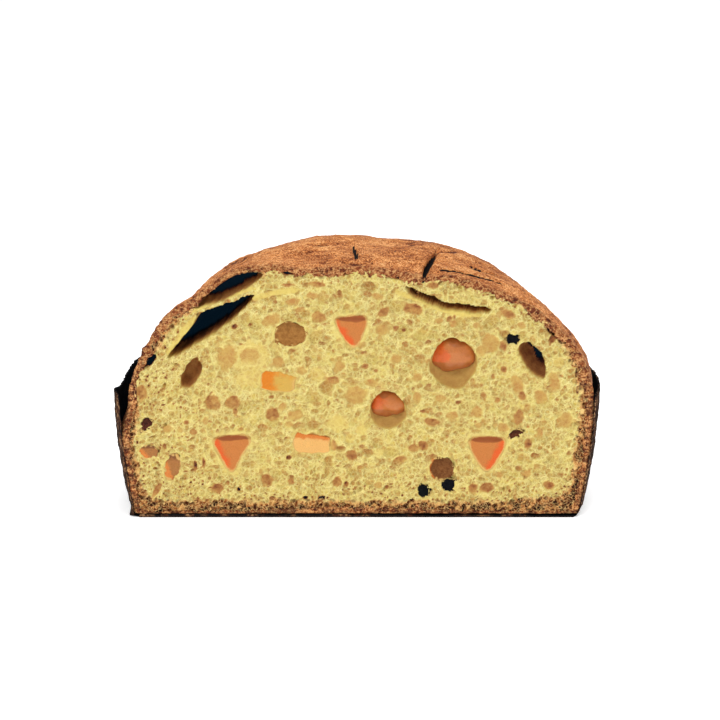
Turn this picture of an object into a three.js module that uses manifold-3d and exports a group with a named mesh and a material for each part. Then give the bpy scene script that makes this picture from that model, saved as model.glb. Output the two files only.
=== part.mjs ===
// A low panettone cut upright, a little in front of its middle, in its paper case.
//
// The loaf is a domed round of sweet bread with a browned crust. The flat cut face looks towards -Y and
// shows baked-in pockets, air holes, raisins and candied orange. The paper case is cut with the loaf.
// Millimetres, +Z up. The origin is on the table, below the middle of the part's own box.
import * as THREE from "three";
import { mergeVertices } from "three/addons/utils/BufferGeometryUtils.js";
import Module from "manifold-3d";

const wasm = await Module();
wasm.setup();

// Driving sizes.
const CASE_BASE_RADIUS = 105; // a mould of about 210 across its base
const CASE_RIM_RADIUS = 111.5; // pushed out by the risen dough
const CASE_HEIGHT = 58;
const CASE_BOW = 1.3; // how far its wall bows out halfway up
const WALL_FOOT = 2; // radius of the bend between its floor and wall
const PAPER = 1.2; // fluted paper, crest to crest
const CLEARANCE = 0.4; // left between pieces that touch
const CROWN_HEIGHT = 118;
const CUT_AHEAD = 30; // the cut is this far in front of the loaf's axis
const CUT_Y = -(CASE_RIM_RADIUS + CUT_AHEAD) / 2;
const AXIS_Y = CUT_Y + CUT_AHEAD;
const IN_FRONT = 1; // cutters start this far in front of the cut face

// How finely the round forms are divided.
const AROUND = 72;
const UP_THE_SIDE = 19;
const SMALL_FRUIT = 5; // rounds with smaller radii are divided more coarsely

// The loaf's upper outline, [distance from the axis, height], from the top of the case to the crown.
const SHOULDER_TO_CROWN = [
  [109.6, 58],
  [108.6, 66],
  [106, 74.5],
  [101.6, 82],
  [95.5, 88.5],
  [86, 96.4],
  [74.5, 103],
  [62, 108.6],
  [47, 112.8],
  [30, 116],
  [14, 118],
  [0.5, CROWN_HEIGHT],
];

// Where the bread has shrunk from its case: azimuth and spread in degrees, and the widest gap.
const LOOSE_SIDES = [
  { azimuth: 176, spread: 24, gap: 9.5 },
  { azimuth: 118, spread: 26, gap: 3 },
  { azimuth: 62, spread: 24, gap: 1.8 },
  { azimuth: 12, spread: 17, gap: 7 },
];

// Where the case's rim sags: azimuth and spread in degrees, how far down and how far in.
const RIM_SAG = { azimuth: 175, spread: 10, down: 5.6, inwards: 1.4 };

// Swells and dips of the dome: middle of each, how far it stands out and how far it reaches.
const SWELLS = [
  { x: -90, y: -30, rise: -8.5, reach: 32 },
  { x: -66, y: 6, rise: -3.5, reach: 26 },
  { x: -95, y: -36, rise: -5, reach: 20 },
  { x: 90, y: -26, rise: -4.4, reach: 27 },
  { x: -40, y: -30, rise: 2.6, reach: 18 },
  { x: -54, y: CUT_Y, rise: 6.6, reach: 15 },
  { x: -86, y: CUT_Y, rise: 2.6, reach: 11 },
  { x: -36, y: CUT_Y + 4, rise: 2.2, reach: 10 },
  { x: -8, y: -18, rise: 2.6, reach: 24 },
  { x: 30, y: CUT_Y, rise: -2.2, reach: 9 },
  { x: 36, y: -24, rise: 2.4, reach: 20 },
  { x: 14, y: -24, rise: -3.4, reach: 13 },
  { x: -46, y: 14, rise: -2.6, reach: 22 },
  { x: 20, y: 34, rise: 2.8, reach: 24 },
  { x: 62, y: 8, rise: -2.2, reach: 18 },
  { x: -70, y: -10, rise: 2.0, reach: 18 },
  { x: 16, y: 8, rise: -2.0, reach: 11 },
];

// Baked-in pockets and air holes that the cut has opened: outline [x, z] on the cut face, how deep each
// goes, how its far end drifts, and how wide it is there as a share of its mouth.
const POCKETS = [
  {
    name: "under the left crust",
    outline: [
      [-75, 97],
      [-67, 104.6],
      [-57.9, 110.9],
      [-47, 113.6],
      [-41.6, 111.6],
      [-49, 106],
      [-61, 99.9],
    ],
    depth: 17,
    drift: [4, 1.5],
    points: 22,
  },
  {
    name: "below it",
    outline: [
      [-83.9, 74.2],
      [-76, 85.3],
      [-68, 95.3],
      [-57, 99.2],
      [-45.2, 103.2],
      [-53.8, 93],
      [-65.9, 83.8],
    ],
    depth: 30,
    drift: [5, 2.5],
    points: 24,
  },
  {
    name: "slit under the right crust",
    outline: [
      [21.6, 107],
      [30, 103.9],
      [41, 99.6],
      [57.6, 97.6],
      [57.4, 95.2],
      [41.4, 96.3],
      [28, 100.8],
    ],
    depth: 14,
    drift: [1, 2],
    points: 22,
  },
  {
    name: "round hole with the large lump",
    outline: [
      [43.3, 83.4],
      [51.3, 78.8],
      [53.8, 70],
      [46.2, 60],
      [37, 62.4],
      [32.5, 71],
      [36.6, 80],
    ],
    depth: 12,
    drift: [0, 1],
    points: 18,
  },
  {
    name: "round hole with the small lump",
    outline: [
      [14.1, 58.9],
      [20.8, 54.3],
      [21.9, 46],
      [14.1, 41.2],
      [6.5, 45.6],
      [7.2, 54.7],
    ],
    depth: 10,
    drift: [0, 1],
    points: 16,
  },
  {
    name: "hole beside the left pocket",
    outline: [
      [-71.4, 74.4],
      [-68.8, 69.1],
      [-73.5, 60.8],
      [-78.8, 62],
      [-76, 70],
    ],
    depth: 9,
    drift: [0, 1],
    points: 12,
  },
  {
    name: "long hole at the right",
    outline: [
      [72, 79],
      [75.4, 81.6],
      [80.8, 78.4],
      [84, 72],
      [83.8, 65.6],
      [80, 65.6],
      [74.4, 71.6],
    ],
    depth: 11,
    drift: [1.5, 1],
    points: 16,
  },
  {
    name: "gap under the left shoulder",
    outline: [
      [-94.2, 75],
      [-89.2, 75.8],
      [-91, 71.6],
      [-95.2, 70.2],
    ],
    depth: 6,
    drift: [0, 0],
    points: 10,
  },
  {
    name: "gap under the right shoulder",
    outline: [
      [84.6, 89.6],
      [89.4, 86.4],
      [90.6, 83],
      [86.2, 85.4],
    ],
    depth: 6,
    drift: [0, 0],
    points: 10,
  },
];

// Candied wedges: outline of the hole each sits in. The wedge is as deep as a cut quarter of orange.
const WEDGES = {
  candied_wedge_top: [
    [-10, 92.6],
    [-2.9, 94.2],
    [4.8, 93.8],
    [4.2, 86.6],
    [-0.7, 78.8],
    [-6.9, 84.3],
  ],
  candied_wedge_left: [
    [-64.9, 37],
    [-56, 39.4],
    [-47, 37.4],
    [-51.6, 28],
    [-56.2, 20.5],
    [-62.4, 28.5],
  ],
  candied_wedge_right: [
    [50.1, 37],
    [59.5, 38.6],
    [67.7, 36.4],
    [64.6, 27.1],
    [58.4, 20.8],
    [52.4, 28.5],
  ],
};
const WEDGE_DEPTH = 11;
const WEDGE_RECESS = 0.9; // the fruit lies this far behind the cut face
const WEDGE_HEADROOM = 2.4; // and this far below the top of its hole

// Strips of candied peel, cut flush: middle, length, height, slope in degrees.
const PEELS = {
  candied_peel_upper: { x: -35, z: 63.2, length: 15.6, height: 8.6, slope: -7 },
  candied_peel_lower: { x: -20, z: 34.7, length: 16.8, height: 8.4, slope: -5 },
};
const PEEL_DEPTH = 9;
const PEEL_CORNER = 1.4;

// Fruit seen whole at the back of its hole: middle [x, behind the face, z] and radii.
const WHOLE_FRUIT = {
  candied_lump_large: { at: [43.4, 9.2, 75.2], radii: [9.8, 6.6, 7.4] },
  candied_lump_small: { at: [14.2, 7.6, 52.7], radii: [7.3, 5.2, 5.7] },
};

// Fruit that the knife has sliced: middle [x, z], radii [x, depth, z] and how far its face lies back.
const SLICED_FRUIT = {
  raisin_upper: { x: -29.4, z: 85.2, radii: [7.6, 7, 5.9], recess: 0.7 },
  raisin_lower: { x: 38.4, z: 22.8, radii: [5.9, 6.4, 5.8], recess: 0.6 },
  raisin_dark_left: { x: 30.5, z: 12.4, radii: [3.2, 4, 3.1], recess: 0.9 },
  raisin_dark_right: { x: 41.6, z: 15, radii: [3.8, 4.2, 3], recess: 0.9 },
  raisin_by_long_hole: { x: 69.4, z: 83, radii: [3.2, 3.4, 2.7], recess: 0.6 },
  raisin_by_right_wedge: { x: 71.7, z: 39, radii: [3.3, 3.6, 2.3], recess: 0.8 },
  raisin_by_case: { x: -94.4, z: 43.4, radii: [2.8, 3.6, 3.6], recess: 0.8 },
  candied_bit_corner: { x: -83.2, z: 23.4, radii: [3.8, 4.6, 6.8], recess: 0.8 },
  candied_bit_case: { x: -93.6, z: 30.6, radii: [4.4, 4.2, 3.2], recess: 0.7 },
};

// Cracks in the crown: [x, y] along each, widest opening and depth.
const CRACKS = [
  {
    path: [
      [29.4, CUT_Y - 1],
      [30.6, CUT_Y + 8],
      [34, CUT_Y + 19],
      [36.4, CUT_Y + 30],
    ],
    width: 3.4,
    depth: 6,
  },
  {
    path: [
      [38, CUT_Y + 6.2],
      [47, CUT_Y + 7.6],
      [57, CUT_Y + 9.2],
      [68, CUT_Y + 9.6],
    ],
    width: 2.4,
    depth: 4,
  },
  {
    path: [
      [-1.8, CUT_Y + 10],
      [-2.4, CUT_Y + 20],
      [-4.2, CUT_Y + 29],
    ],
    width: 1.8,
    depth: 3,
  },
];

const PUCKER = 0.32; // height of the fine puckers all over the dome

const COLOURS = {
  crust: 0xb36a36,
  paper: 0x2b1d16,
  candiedOrange: 0xe0702a,
  candiedPeel: 0xf0a040,
  raisin: 0x4a2a1a,
};

// A smooth step from 0 at a to 1 at b.
function smooth(a, b, value) {
  const t = Math.min(1, Math.max(0, (value - a) / (b - a)));
  return t * t * (3 - 2 * t);
}

function degreesApart(a, b) {
  return Math.abs(((a - b + 540) % 360) - 180);
}

function caseRadius(height) {
  const share = height / CASE_HEIGHT;
  const straight = THREE.MathUtils.lerp(CASE_BASE_RADIUS, CASE_RIM_RADIUS, share);
  return straight + CASE_BOW * Math.sin(Math.PI * share);
}

// The closed surface over rings of points, each ring with as many points, capped by a fan at both ends.
function skinOver(rings) {
  const count = rings[0].length;
  const positions = rings.flat().flatMap((p) => [p.x, p.y, p.z]);
  const faces = [];
  for (let i = 0; i + 1 < rings.length; i++) {
    for (let j = 0; j < count; j++) {
      const a = i * count + j;
      const b = i * count + ((j + 1) % count);
      faces.push(a, b, b + count, a, b + count, a + count);
    }
  }
  for (const [ring, start, flip] of [
    [rings[0], 0, true],
    [rings.at(-1), (rings.length - 1) * count, false],
  ]) {
    const middle = ring.reduce((sum, p) => sum.add(p), new THREE.Vector3()).divideScalar(count);
    const hub = positions.length / 3;
    positions.push(middle.x, middle.y, middle.z);
    for (let j = 0; j < count; j++) {
      const a = start + j;
      const b = start + ((j + 1) % count);
      faces.push(...(flip ? [hub, b, a] : [hub, a, b]));
    }
  }
  const geometry = new THREE.BufferGeometry();
  geometry.setAttribute("position", new THREE.Float32BufferAttribute(positions, 3));
  geometry.setIndex(faces);
  return geometry;
}

// A three.js surface as a solid that can be cut and joined.
function solidOf(geometry) {
  const bare = geometry.clone();
  bare.deleteAttribute("normal");
  bare.deleteAttribute("uv");
  const merged = mergeVertices(bare, 1e-4);
  const solid = new wasm.Manifold(
    new wasm.Mesh({
      numProp: 3,
      vertProperties: new Float32Array(merged.attributes.position.array),
      triVerts: new Uint32Array(merged.index.array),
    }),
  );
  if (solid.volume() < 0) throw new Error("a surface faces inwards");
  return solid;
}

// A solid as a three.js surface with flat shading.
function surfaceOf(solid) {
  const mesh = solid.getMesh();
  const geometry = new THREE.BufferGeometry();
  const positions = new Float32Array(mesh.numVert * 3);
  for (let i = 0; i < mesh.numVert; i++) {
    positions.set(mesh.vertProperties.subarray(i * mesh.numProp, i * mesh.numProp + 3), i * 3);
  }
  geometry.setAttribute("position", new THREE.BufferAttribute(positions, 3));
  geometry.setIndex(new THREE.BufferAttribute(mesh.triVerts, 1));
  geometry.computeVertexNormals();
  return geometry;
}

// The loaf before it is cut.

// How far the dome stands out from its round outline at a place seen from above.
function swell(x, y) {
  const lumps = SWELLS.reduce((sum, s) => {
    const away = ((x - s.x) ** 2 + (y - s.y) ** 2) / (s.reach * s.reach);
    return sum + s.rise * Math.exp(-away);
  }, 0);
  const puckers = Math.sin(x / 6.1 + y / 14) + Math.sin(y / 5.3 - x / 11);
  return lumps + PUCKER * puckers;
}

// How far the bread has shrunk from its case.
function shrink(azimuth, height) {
  const band = smooth(33, 56, height) * (1 - smooth(84, 100, height));
  return LOOSE_SIDES.reduce((widest, side) => {
    const away = degreesApart(azimuth, side.azimuth) / side.spread;
    return Math.max(widest, side.gap * Math.exp(-away * away) * band);
  }, 0);
}

// How far the case has sagged, from 0 at its foot to 1 at the lowest place of its rim.
function rimSag(azimuth, height) {
  const away = degreesApart(azimuth, RIM_SAG.azimuth) / RIM_SAG.spread;
  return Math.exp(-away * away) * (height / CASE_HEIGHT) ** 4;
}

function loafOutline() {
  const foot = PAPER + CLEARANCE;
  const side = [0, 0.04, 0.35, 0.7].map((share) => {
    const height = foot + share * (CASE_HEIGHT - foot);
    return new THREE.Vector2(caseRadius(height) - PAPER - CLEARANCE, height);
  });
  side[0].x -= WALL_FOOT; // the bottom edge is rounded
  const upper = SHOULDER_TO_CROWN.map(([r, z]) => new THREE.Vector2(r, z));
  return new THREE.SplineCurve([...side, ...upper]);
}

// A point of the loaf's surface: a share of the way up its outline, and of a full turn.
function loafPoint(outline, up, turn) {
  const { x: outlineRadius, y: height } = outline.getPointAt(up);
  const along = outline.getTangentAt(up);
  const angle = turn * 2 * Math.PI;
  const radius = outlineRadius - shrink(turn * 360, height);
  const stands =
    swell(radius * Math.cos(angle), AXIS_Y + radius * Math.sin(angle)) *
    smooth(CASE_HEIGHT + 2, CASE_HEIGHT + 26, height);
  const swollen = radius + stands * along.y;
  return new THREE.Vector3(
    swollen * Math.cos(angle),
    AXIS_Y + swollen * Math.sin(angle),
    height - stands * along.x,
  );
}

function wholeLoaf() {
  const outline = loafOutline();
  const rings = Array.from({ length: UP_THE_SIDE + 1 }, (_, i) =>
    Array.from({ length: AROUND }, (_, j) => loafPoint(outline, i / UP_THE_SIDE, j / AROUND)),
  );
  return solidOf(skinOver(rings));
}

// Height of the dome above a place seen from above.
function crownHeight(x, y) {
  const outline = loafOutline().getSpacedPoints(UP_THE_SIDE);
  const away = Math.hypot(x, y - AXIS_Y);
  const i = outline.findIndex((p, k) => k > 0 && p.x < away && p.y > CASE_HEIGHT);
  const [outer, inner] = [outline[i - 1], outline[i]];
  const t = (outer.x - away) / (outer.x - inner.x);
  return outer.y + t * (inner.y - outer.y) + swell(x, y);
}

// Cutters and fruit, all worked from an outline on the cut face.

function smoothOutline(outline, count) {
  const curve = new THREE.CatmullRomCurve3(
    outline.map(([x, z]) => new THREE.Vector3(x, 0, z)),
    true,
  );
  return curve.getSpacedPoints(count).slice(0, count);
}

function middleOf(points) {
  return points.reduce((sum, p) => sum.add(p), new THREE.Vector3()).divideScalar(points.length);
}

// An outline carried backwards from the cut face: steps are [behind the face, share of the mouth].
function carryBack(outline, steps, drift = [0, 0]) {
  const middle = middleOf(outline);
  const deepest = steps.at(-1)[0];
  const area = outline.reduce((sum, p, i) => {
    const q = outline[(i + 1) % outline.length];
    return sum + p.x * q.z - q.x * p.z;
  }, 0);
  const ordered = area < 0 ? outline : [...outline].reverse();
  const rings = steps.map(([behind, share]) => {
    const along = Math.max(0, behind) / deepest;
    return ordered.map(
      (p) =>
        new THREE.Vector3(
          middle.x + (p.x - middle.x) * share + drift[0] * along,
          CUT_Y + behind,
          middle.z + (p.z - middle.z) * share + drift[1] * along,
        ),
    );
  });
  return solidOf(skinOver(rings));
}

function pocketCutter({ outline, depth, drift, points }) {
  const bag = [0, 0.3, 0.6, 0.85, 1].map((t) => [depth * t, Math.sqrt(1 - (0.94 * t) ** 2.4)]);
  return carryBack(smoothOutline(outline, points), [[-IN_FRONT, 1], ...bag], drift);
}

// Moves each point of an outline towards its middle.
function drawnIn(outline, by) {
  const middle = middleOf(outline);
  return outline.map((p) => {
    const reach = p.distanceTo(middle);
    return p.clone().sub(middle).multiplyScalar((reach - by) / reach).add(middle);
  });
}

function wedgeHole(outline) {
  const back = WEDGE_DEPTH + CLEARANCE;
  return carryBack(smoothOutline(outline, 18), [
    [-IN_FRONT, 1],
    [back * 0.6, 0.97],
    [back, 0.8],
  ]);
}

function wedge(outline) {
  const hole = smoothOutline(outline, 18);
  const top = Math.max(...hole.map((p) => p.z)) - WEDGE_HEADROOM;
  const fruit = drawnIn(hole, 0.6).map((p) => new THREE.Vector3(p.x, 0, Math.min(p.z, top)));
  return carryBack(fruit, [
    [WEDGE_RECESS, 0.95],
    [WEDGE_RECESS + 0.6, 1],
    [WEDGE_DEPTH * 0.6, 0.96],
    [WEDGE_DEPTH - 0.4, 0.76],
  ]);
}

function peelOutline({ x, z, length, height, slope }, grow) {
  const halfLength = length / 2 + grow;
  const halfHeight = height / 2 + grow;
  const angle = THREE.MathUtils.degToRad(slope);
  const corners = [
    [halfLength, -halfHeight],
    [halfLength, halfHeight],
    [-halfLength, halfHeight],
    [-halfLength, -halfHeight],
  ];
  // Each corner is cut off by a short slanting edge.
  return corners.flatMap(([u, w]) => {
    const inU = u - Math.sign(u) * PEEL_CORNER;
    const inW = w - Math.sign(w) * PEEL_CORNER;
    const pair = u * w > 0 ? [[u, inW], [inU, w]] : [[inU, w], [u, inW]];
    return pair.map(
      ([a, b]) =>
        new THREE.Vector3(
          x + a * Math.cos(angle) - b * Math.sin(angle),
          0,
          z + a * Math.sin(angle) + b * Math.cos(angle),
        ),
    );
  });
}

function peel(size) {
  return carryBack(peelOutline(size, -CLEARANCE), [
    [0, 1],
    [PEEL_DEPTH * 0.7, 0.96],
    [PEEL_DEPTH, 0.82],
  ]);
}

function peelHole(size) {
  return carryBack(peelOutline(size, 0), [
    [-IN_FRONT, 1],
    [PEEL_DEPTH * 0.7, 0.98],
    [PEEL_DEPTH + CLEARANCE, 0.9],
  ]);
}

// A knobbly round: a ball drawn to its radii, uneven by a twelfth.
function knobbly([x, behind, z], [rx, ry, rz], grow, phase) {
  const small = Math.max(rx, rz) < SMALL_FRUIT;
  const ball = new THREE.SphereGeometry(1, small ? 10 : 14, small ? 6 : 8);
  const places = ball.attributes.position;
  for (let i = 0; i < places.count; i++) {
    const p = new THREE.Vector3().fromBufferAttribute(places, i);
    const uneven =
      1 + 0.05 * Math.sin(3.1 * p.x + 4 * p.z + phase) + 0.035 * Math.sin(5 * p.y - 4 * p.x + phase);
    places.setXYZ(
      i,
      x + p.x * (rx * uneven + grow),
      CUT_Y + behind + p.y * (ry * uneven + grow),
      z + p.z * (rz * uneven + grow),
    );
  }
  return solidOf(ball);
}

// A box that reaches from far in front of the loaf to the given distance behind the cut face.
function frontBox(behind) {
  const size = 4 * CASE_RIM_RADIUS;
  const box = new THREE.BoxGeometry(size, size, size);
  box.translate(0, CUT_Y + behind - size / 2, 0);
  return solidOf(box);
}

// A crack is a groove with a pointed bottom that runs out to nothing at its far end.
function crack({ path, width, depth }) {
  const line = new THREE.CatmullRomCurve3(path.map(([x, y]) => new THREE.Vector3(x, y, 0)));
  const steps = 7;
  const rings = Array.from({ length: steps + 1 }, (_, i) => {
    const t = i / steps;
    const p = line.getPoint(t);
    const ahead = line.getTangent(t);
    const side = new THREE.Vector3(ahead.y, -ahead.x, 0).normalize();
    const open = 0.2 + 0.8 * Math.sin(Math.PI * (0.2 + 0.78 * t));
    const surface = crownHeight(p.x, Math.max(p.y, CUT_Y));
    const mouth = side.multiplyScalar((width * open) / 2);
    return [
      new THREE.Vector3(p.x + mouth.x * 2, p.y + mouth.y * 2, surface + depth),
      new THREE.Vector3(p.x, p.y, surface - depth * open),
      new THREE.Vector3(p.x - mouth.x * 2, p.y - mouth.y * 2, surface + depth),
    ];
  });
  return solidOf(skinOver(rings));
}

// The paper case: a tray with a leaning wall, turned about the axis.
function wholeCase() {
  const wall = [WALL_FOOT, CASE_HEIGHT * 0.25, CASE_HEIGHT * 0.5, CASE_HEIGHT * 0.75, CASE_HEIGHT];
  const profile = [
    [0, 0],
    [CASE_BASE_RADIUS - WALL_FOOT, 0],
    [CASE_BASE_RADIUS - WALL_FOOT * 0.3, WALL_FOOT * 0.3],
    ...wall.map((z) => [caseRadius(z), z]),
    ...[...wall].reverse().map((z) => [caseRadius(z) - PAPER, z]),
    [CASE_BASE_RADIUS - WALL_FOOT - PAPER * 0.5, PAPER],
    [0, PAPER],
  ].map(([r, z]) => new THREE.Vector2(r, z));
  const turned = new THREE.LatheGeometry(profile, AROUND + 12);
  turned.rotateX(Math.PI / 2); // three.js turns profiles about Y
  const places = turned.attributes.position;
  for (let i = 0; i < places.count; i++) {
    const p = new THREE.Vector3().fromBufferAttribute(places, i);
    const azimuth = THREE.MathUtils.radToDeg(Math.atan2(p.y, p.x));
    const sag = rimSag(azimuth, p.z);
    const share = 1 - (RIM_SAG.inwards * sag) / CASE_RIM_RADIUS;
    places.setXYZ(i, p.x * share, AXIS_Y + p.y * share, p.z - RIM_SAG.down * sag);
  }
  return solidOf(turned);
}

// Putting it together.

const part = new THREE.Group();

function add(name, solid, colour, roughness) {
  const material = new THREE.MeshStandardMaterial({ color: colour, roughness, metalness: 0 });
  const mesh = new THREE.Mesh(surfaceOf(solid), material);
  mesh.name = name;
  part.add(mesh);
}

const aheadOfCut = frontBox(0);
let bread = wholeLoaf().subtract(aheadOfCut);
for (const pocket of POCKETS) bread = bread.subtract(pocketCutter(pocket));
for (const groove of CRACKS) bread = bread.subtract(crack(groove));

for (const [name, outline] of Object.entries(WEDGES)) {
  bread = bread.subtract(wedgeHole(outline));
  add(name, wedge(outline), COLOURS.candiedOrange, 0.35);
}

for (const [name, size] of Object.entries(PEELS)) {
  bread = bread.subtract(peelHole(size));
  add(name, peel(size), COLOURS.candiedPeel, 0.4);
}

Object.entries(WHOLE_FRUIT).forEach(([name, { at, radii }], i) => {
  bread = bread.subtract(knobbly(at, radii, CLEARANCE, i));
  const colour = name.startsWith("raisin") ? COLOURS.raisin : COLOURS.candiedOrange;
  add(name, knobbly(at, radii, 0, i), colour, 0.4);
});

Object.entries(SLICED_FRUIT).forEach(([name, { x, z, radii, recess }], i) => {
  const middle = [x, recess, z];
  const grown = knobbly(middle, radii, CLEARANCE, i);
  const mouth = carryBack(
    smoothOutline(
      [0, 1, 2, 3, 4, 5].map((k) => {
        const angle = (k * Math.PI) / 3;
        return [x + (radii[0] + 0.2) * Math.cos(angle), z + (radii[2] + 0.2) * Math.sin(angle)];
      }),
      12,
    ),
    [
      [-IN_FRONT, 0.98],
      [recess, 0.98],
      [recess + 1, 0.9],
    ],
  );
  bread = bread.subtract(grown.add(mouth));
  const colour = name.startsWith("raisin") ? COLOURS.raisin : COLOURS.candiedOrange;
  add(name, knobbly(middle, radii, 0, i).subtract(frontBox(recess)), colour, 0.45);
});

add("bread", bread, COLOURS.crust, 0.8);
add("paper_case", wholeCase().subtract(aheadOfCut), COLOURS.paper, 0.7);

export default part;
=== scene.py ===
"""The looks of a panettone cut in half in its paper case, with a plain stage round it.

Shapes are worked out in millimetres, with +Z up and the cut face towards -Y, and put into the meshes
in metres. Each piece is a surface worked out with numpy on a grid of two parameters.
"""
import math

import bpy
import numpy as np
from bpy.props import FloatProperty, FloatVectorProperty, PointerProperty
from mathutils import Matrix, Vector


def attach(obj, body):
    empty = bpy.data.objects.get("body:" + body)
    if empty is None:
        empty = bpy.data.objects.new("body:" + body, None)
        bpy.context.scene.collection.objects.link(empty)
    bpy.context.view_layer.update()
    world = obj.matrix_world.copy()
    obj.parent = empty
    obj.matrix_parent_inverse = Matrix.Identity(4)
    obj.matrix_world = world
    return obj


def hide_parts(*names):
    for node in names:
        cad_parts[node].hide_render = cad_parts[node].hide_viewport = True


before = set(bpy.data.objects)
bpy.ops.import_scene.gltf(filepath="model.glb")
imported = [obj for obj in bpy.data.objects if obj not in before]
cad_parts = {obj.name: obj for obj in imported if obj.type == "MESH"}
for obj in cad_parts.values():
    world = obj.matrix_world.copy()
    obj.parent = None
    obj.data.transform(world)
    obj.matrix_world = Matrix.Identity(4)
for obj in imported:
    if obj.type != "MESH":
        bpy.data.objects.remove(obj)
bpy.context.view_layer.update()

bl_info = {
    "name": "Cut Panettone",
    "version": (1, 0, 0),
    "blender": (4, 5, 0),
    "location": "View3D > Sidebar > Panettone",
    "description": "Makes a panettone cut in half in its paper case",
    "category": "Add Mesh",
}

MM = 0.001

# Sizes of the loaf and its case, in millimetres, as in the part's source.
CASE_BASE_RADIUS = 105
CASE_RIM_RADIUS = 111.5
CASE_HEIGHT = 58
CASE_BOW = 1.3
WALL_FOOT = 2
PAPER = 1.2
CLEARANCE = 0.4
CROWN_HEIGHT = 118
CUT_AHEAD = 30
CUT_Y = -(CASE_RIM_RADIUS + CUT_AHEAD) / 2
AXIS_Y = CUT_Y + CUT_AHEAD
PUCKER = 0.32
HUB = np.array([0.0, CUT_Y, 40.0])  # every ray that meets the crust starts here
FOOT = PAPER + CLEARANCE  # height of the bread's underside

# How finely the crust and the case are made: points round and rows from the back to the cut.
CRUST_COLUMNS = 720
CRUST_ROWS = 118
CASE_COLUMNS = 1080
SHEET = 0.34  # thickness of the real paper

# Tilts, in degrees from the line into the loaf, at which the crust's inner skin has a ring.
INNER_SKIN_TILTS = (88, 86.5, 85, 83, 80, 76, 72, 66, 45, 20, 0)

# The rings that close the crumb behind: tilt in degrees, and how far under the crust each lies.
CRUMB_BACK = [(86, 1.8), (82, 2.0), (76, 2.2), (68, 2.6), (56, 3.0)]

SHOULDER_TO_CROWN = [
    (109.6, 58), (108.6, 66), (106, 74.5), (101.6, 82), (95.5, 88.5), (86, 96.4),
    (74.5, 103), (62, 108.6), (47, 112.8), (30, 116), (14, 118), (0.5, CROWN_HEIGHT),
]

# Where the bread has shrunk from its case: azimuth and spread in degrees, widest gap.
LOOSE_SIDES = [(176, 24, 9.5), (118, 26, 3), (62, 24, 1.8), (12, 17, 7)]

# Where the case's rim sags: azimuth and spread in degrees, how far down and how far in.
SAG_AZIMUTH, SAG_SPREAD, SAG_DOWN, SAG_INWARDS = 175, 10, 5.6, 1.4

# Swells and dips of the dome: middle x, y, how far it stands out, how far it reaches.
SWELLS = [
    (-90, -30, -8.5, 32), (-66, 6, -3.5, 26), (-95, -36, -5, 20), (90, -26, -4.4, 27),
    (-40, -30, 2.6, 18), (-54, CUT_Y, 6.6, 15), (-86, CUT_Y, 2.6, 11), (-36, CUT_Y + 4, 2.2, 10),
    (-8, -18, 2.6, 24), (30, CUT_Y, -2.2, 9), (36, -24, 2.4, 20), (14, -24, -3.4, 13),
    (-46, 14, -2.6, 22), (20, 34, 2.8, 24), (62, 8, -2.2, 18), (-70, -10, 2.0, 18),
    (16, 8, -2.0, 11),
]

# Cracks in the crown: points x, y along each, widest opening, depth, and the share of the depth from
# which on it is painted dark, a painted shadow in the crack.
CRACKS = [
    ([(30.4, CUT_Y - 1), (31.6, CUT_Y + 9), (35, CUT_Y + 23), (38, CUT_Y + 38)], 2.7, 6.0, 0.25),
    ([(38, CUT_Y + 6.6), (47, CUT_Y + 8.4), (57, CUT_Y + 10.4), (69, CUT_Y + 10.6)], 3.8, 4.0, 0.03),
    ([(0, CUT_Y + 9), (-0.6, CUT_Y + 24), (-2.2, CUT_Y + 40)], 1.9, 3.2, 0.25),
    ([(52, CUT_Y + 24), (57, CUT_Y + 21), (64, CUT_Y + 23)], 2.8, 2.6, 0.06),
]

# Creases that are only pressed into the crust, with painted shade in them.
CREASES = [
    ([(-22, CUT_Y + 34), (-14, CUT_Y + 31), (-7, CUT_Y + 33)], 1.6, 1.4),
    ([(-30, CUT_Y + 22), (-18, CUT_Y + 25), (-8, CUT_Y + 22)], 1.4, 0.9),
    ([(54, CUT_Y + 33), (60, CUT_Y + 35), (70, CUT_Y + 32)], 1.8, 1.1),
    ([(36, CUT_Y + 30), (44, CUT_Y + 38), (46, CUT_Y + 50)], 2.2, 1.5),
    ([(-60, CUT_Y + 26), (-48, CUT_Y + 34), (-42, CUT_Y + 46)], 2.2, 1.2),
    ([(-28, CUT_Y + 60), (-4, CUT_Y + 70), (22, CUT_Y + 62)], 2.4, 1.4),
    ([(60, CUT_Y + 70), (72, CUT_Y + 54), (76, CUT_Y + 40)], 2.4, 1.3),
    ([(-80, CUT_Y + 70), (-66, CUT_Y + 88), (-46, CUT_Y + 102)], 2.6, 1.5),
    ([(8, CUT_Y + 96), (30, CUT_Y + 100), (50, CUT_Y + 92)], 2.4, 1.3),
]
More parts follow.
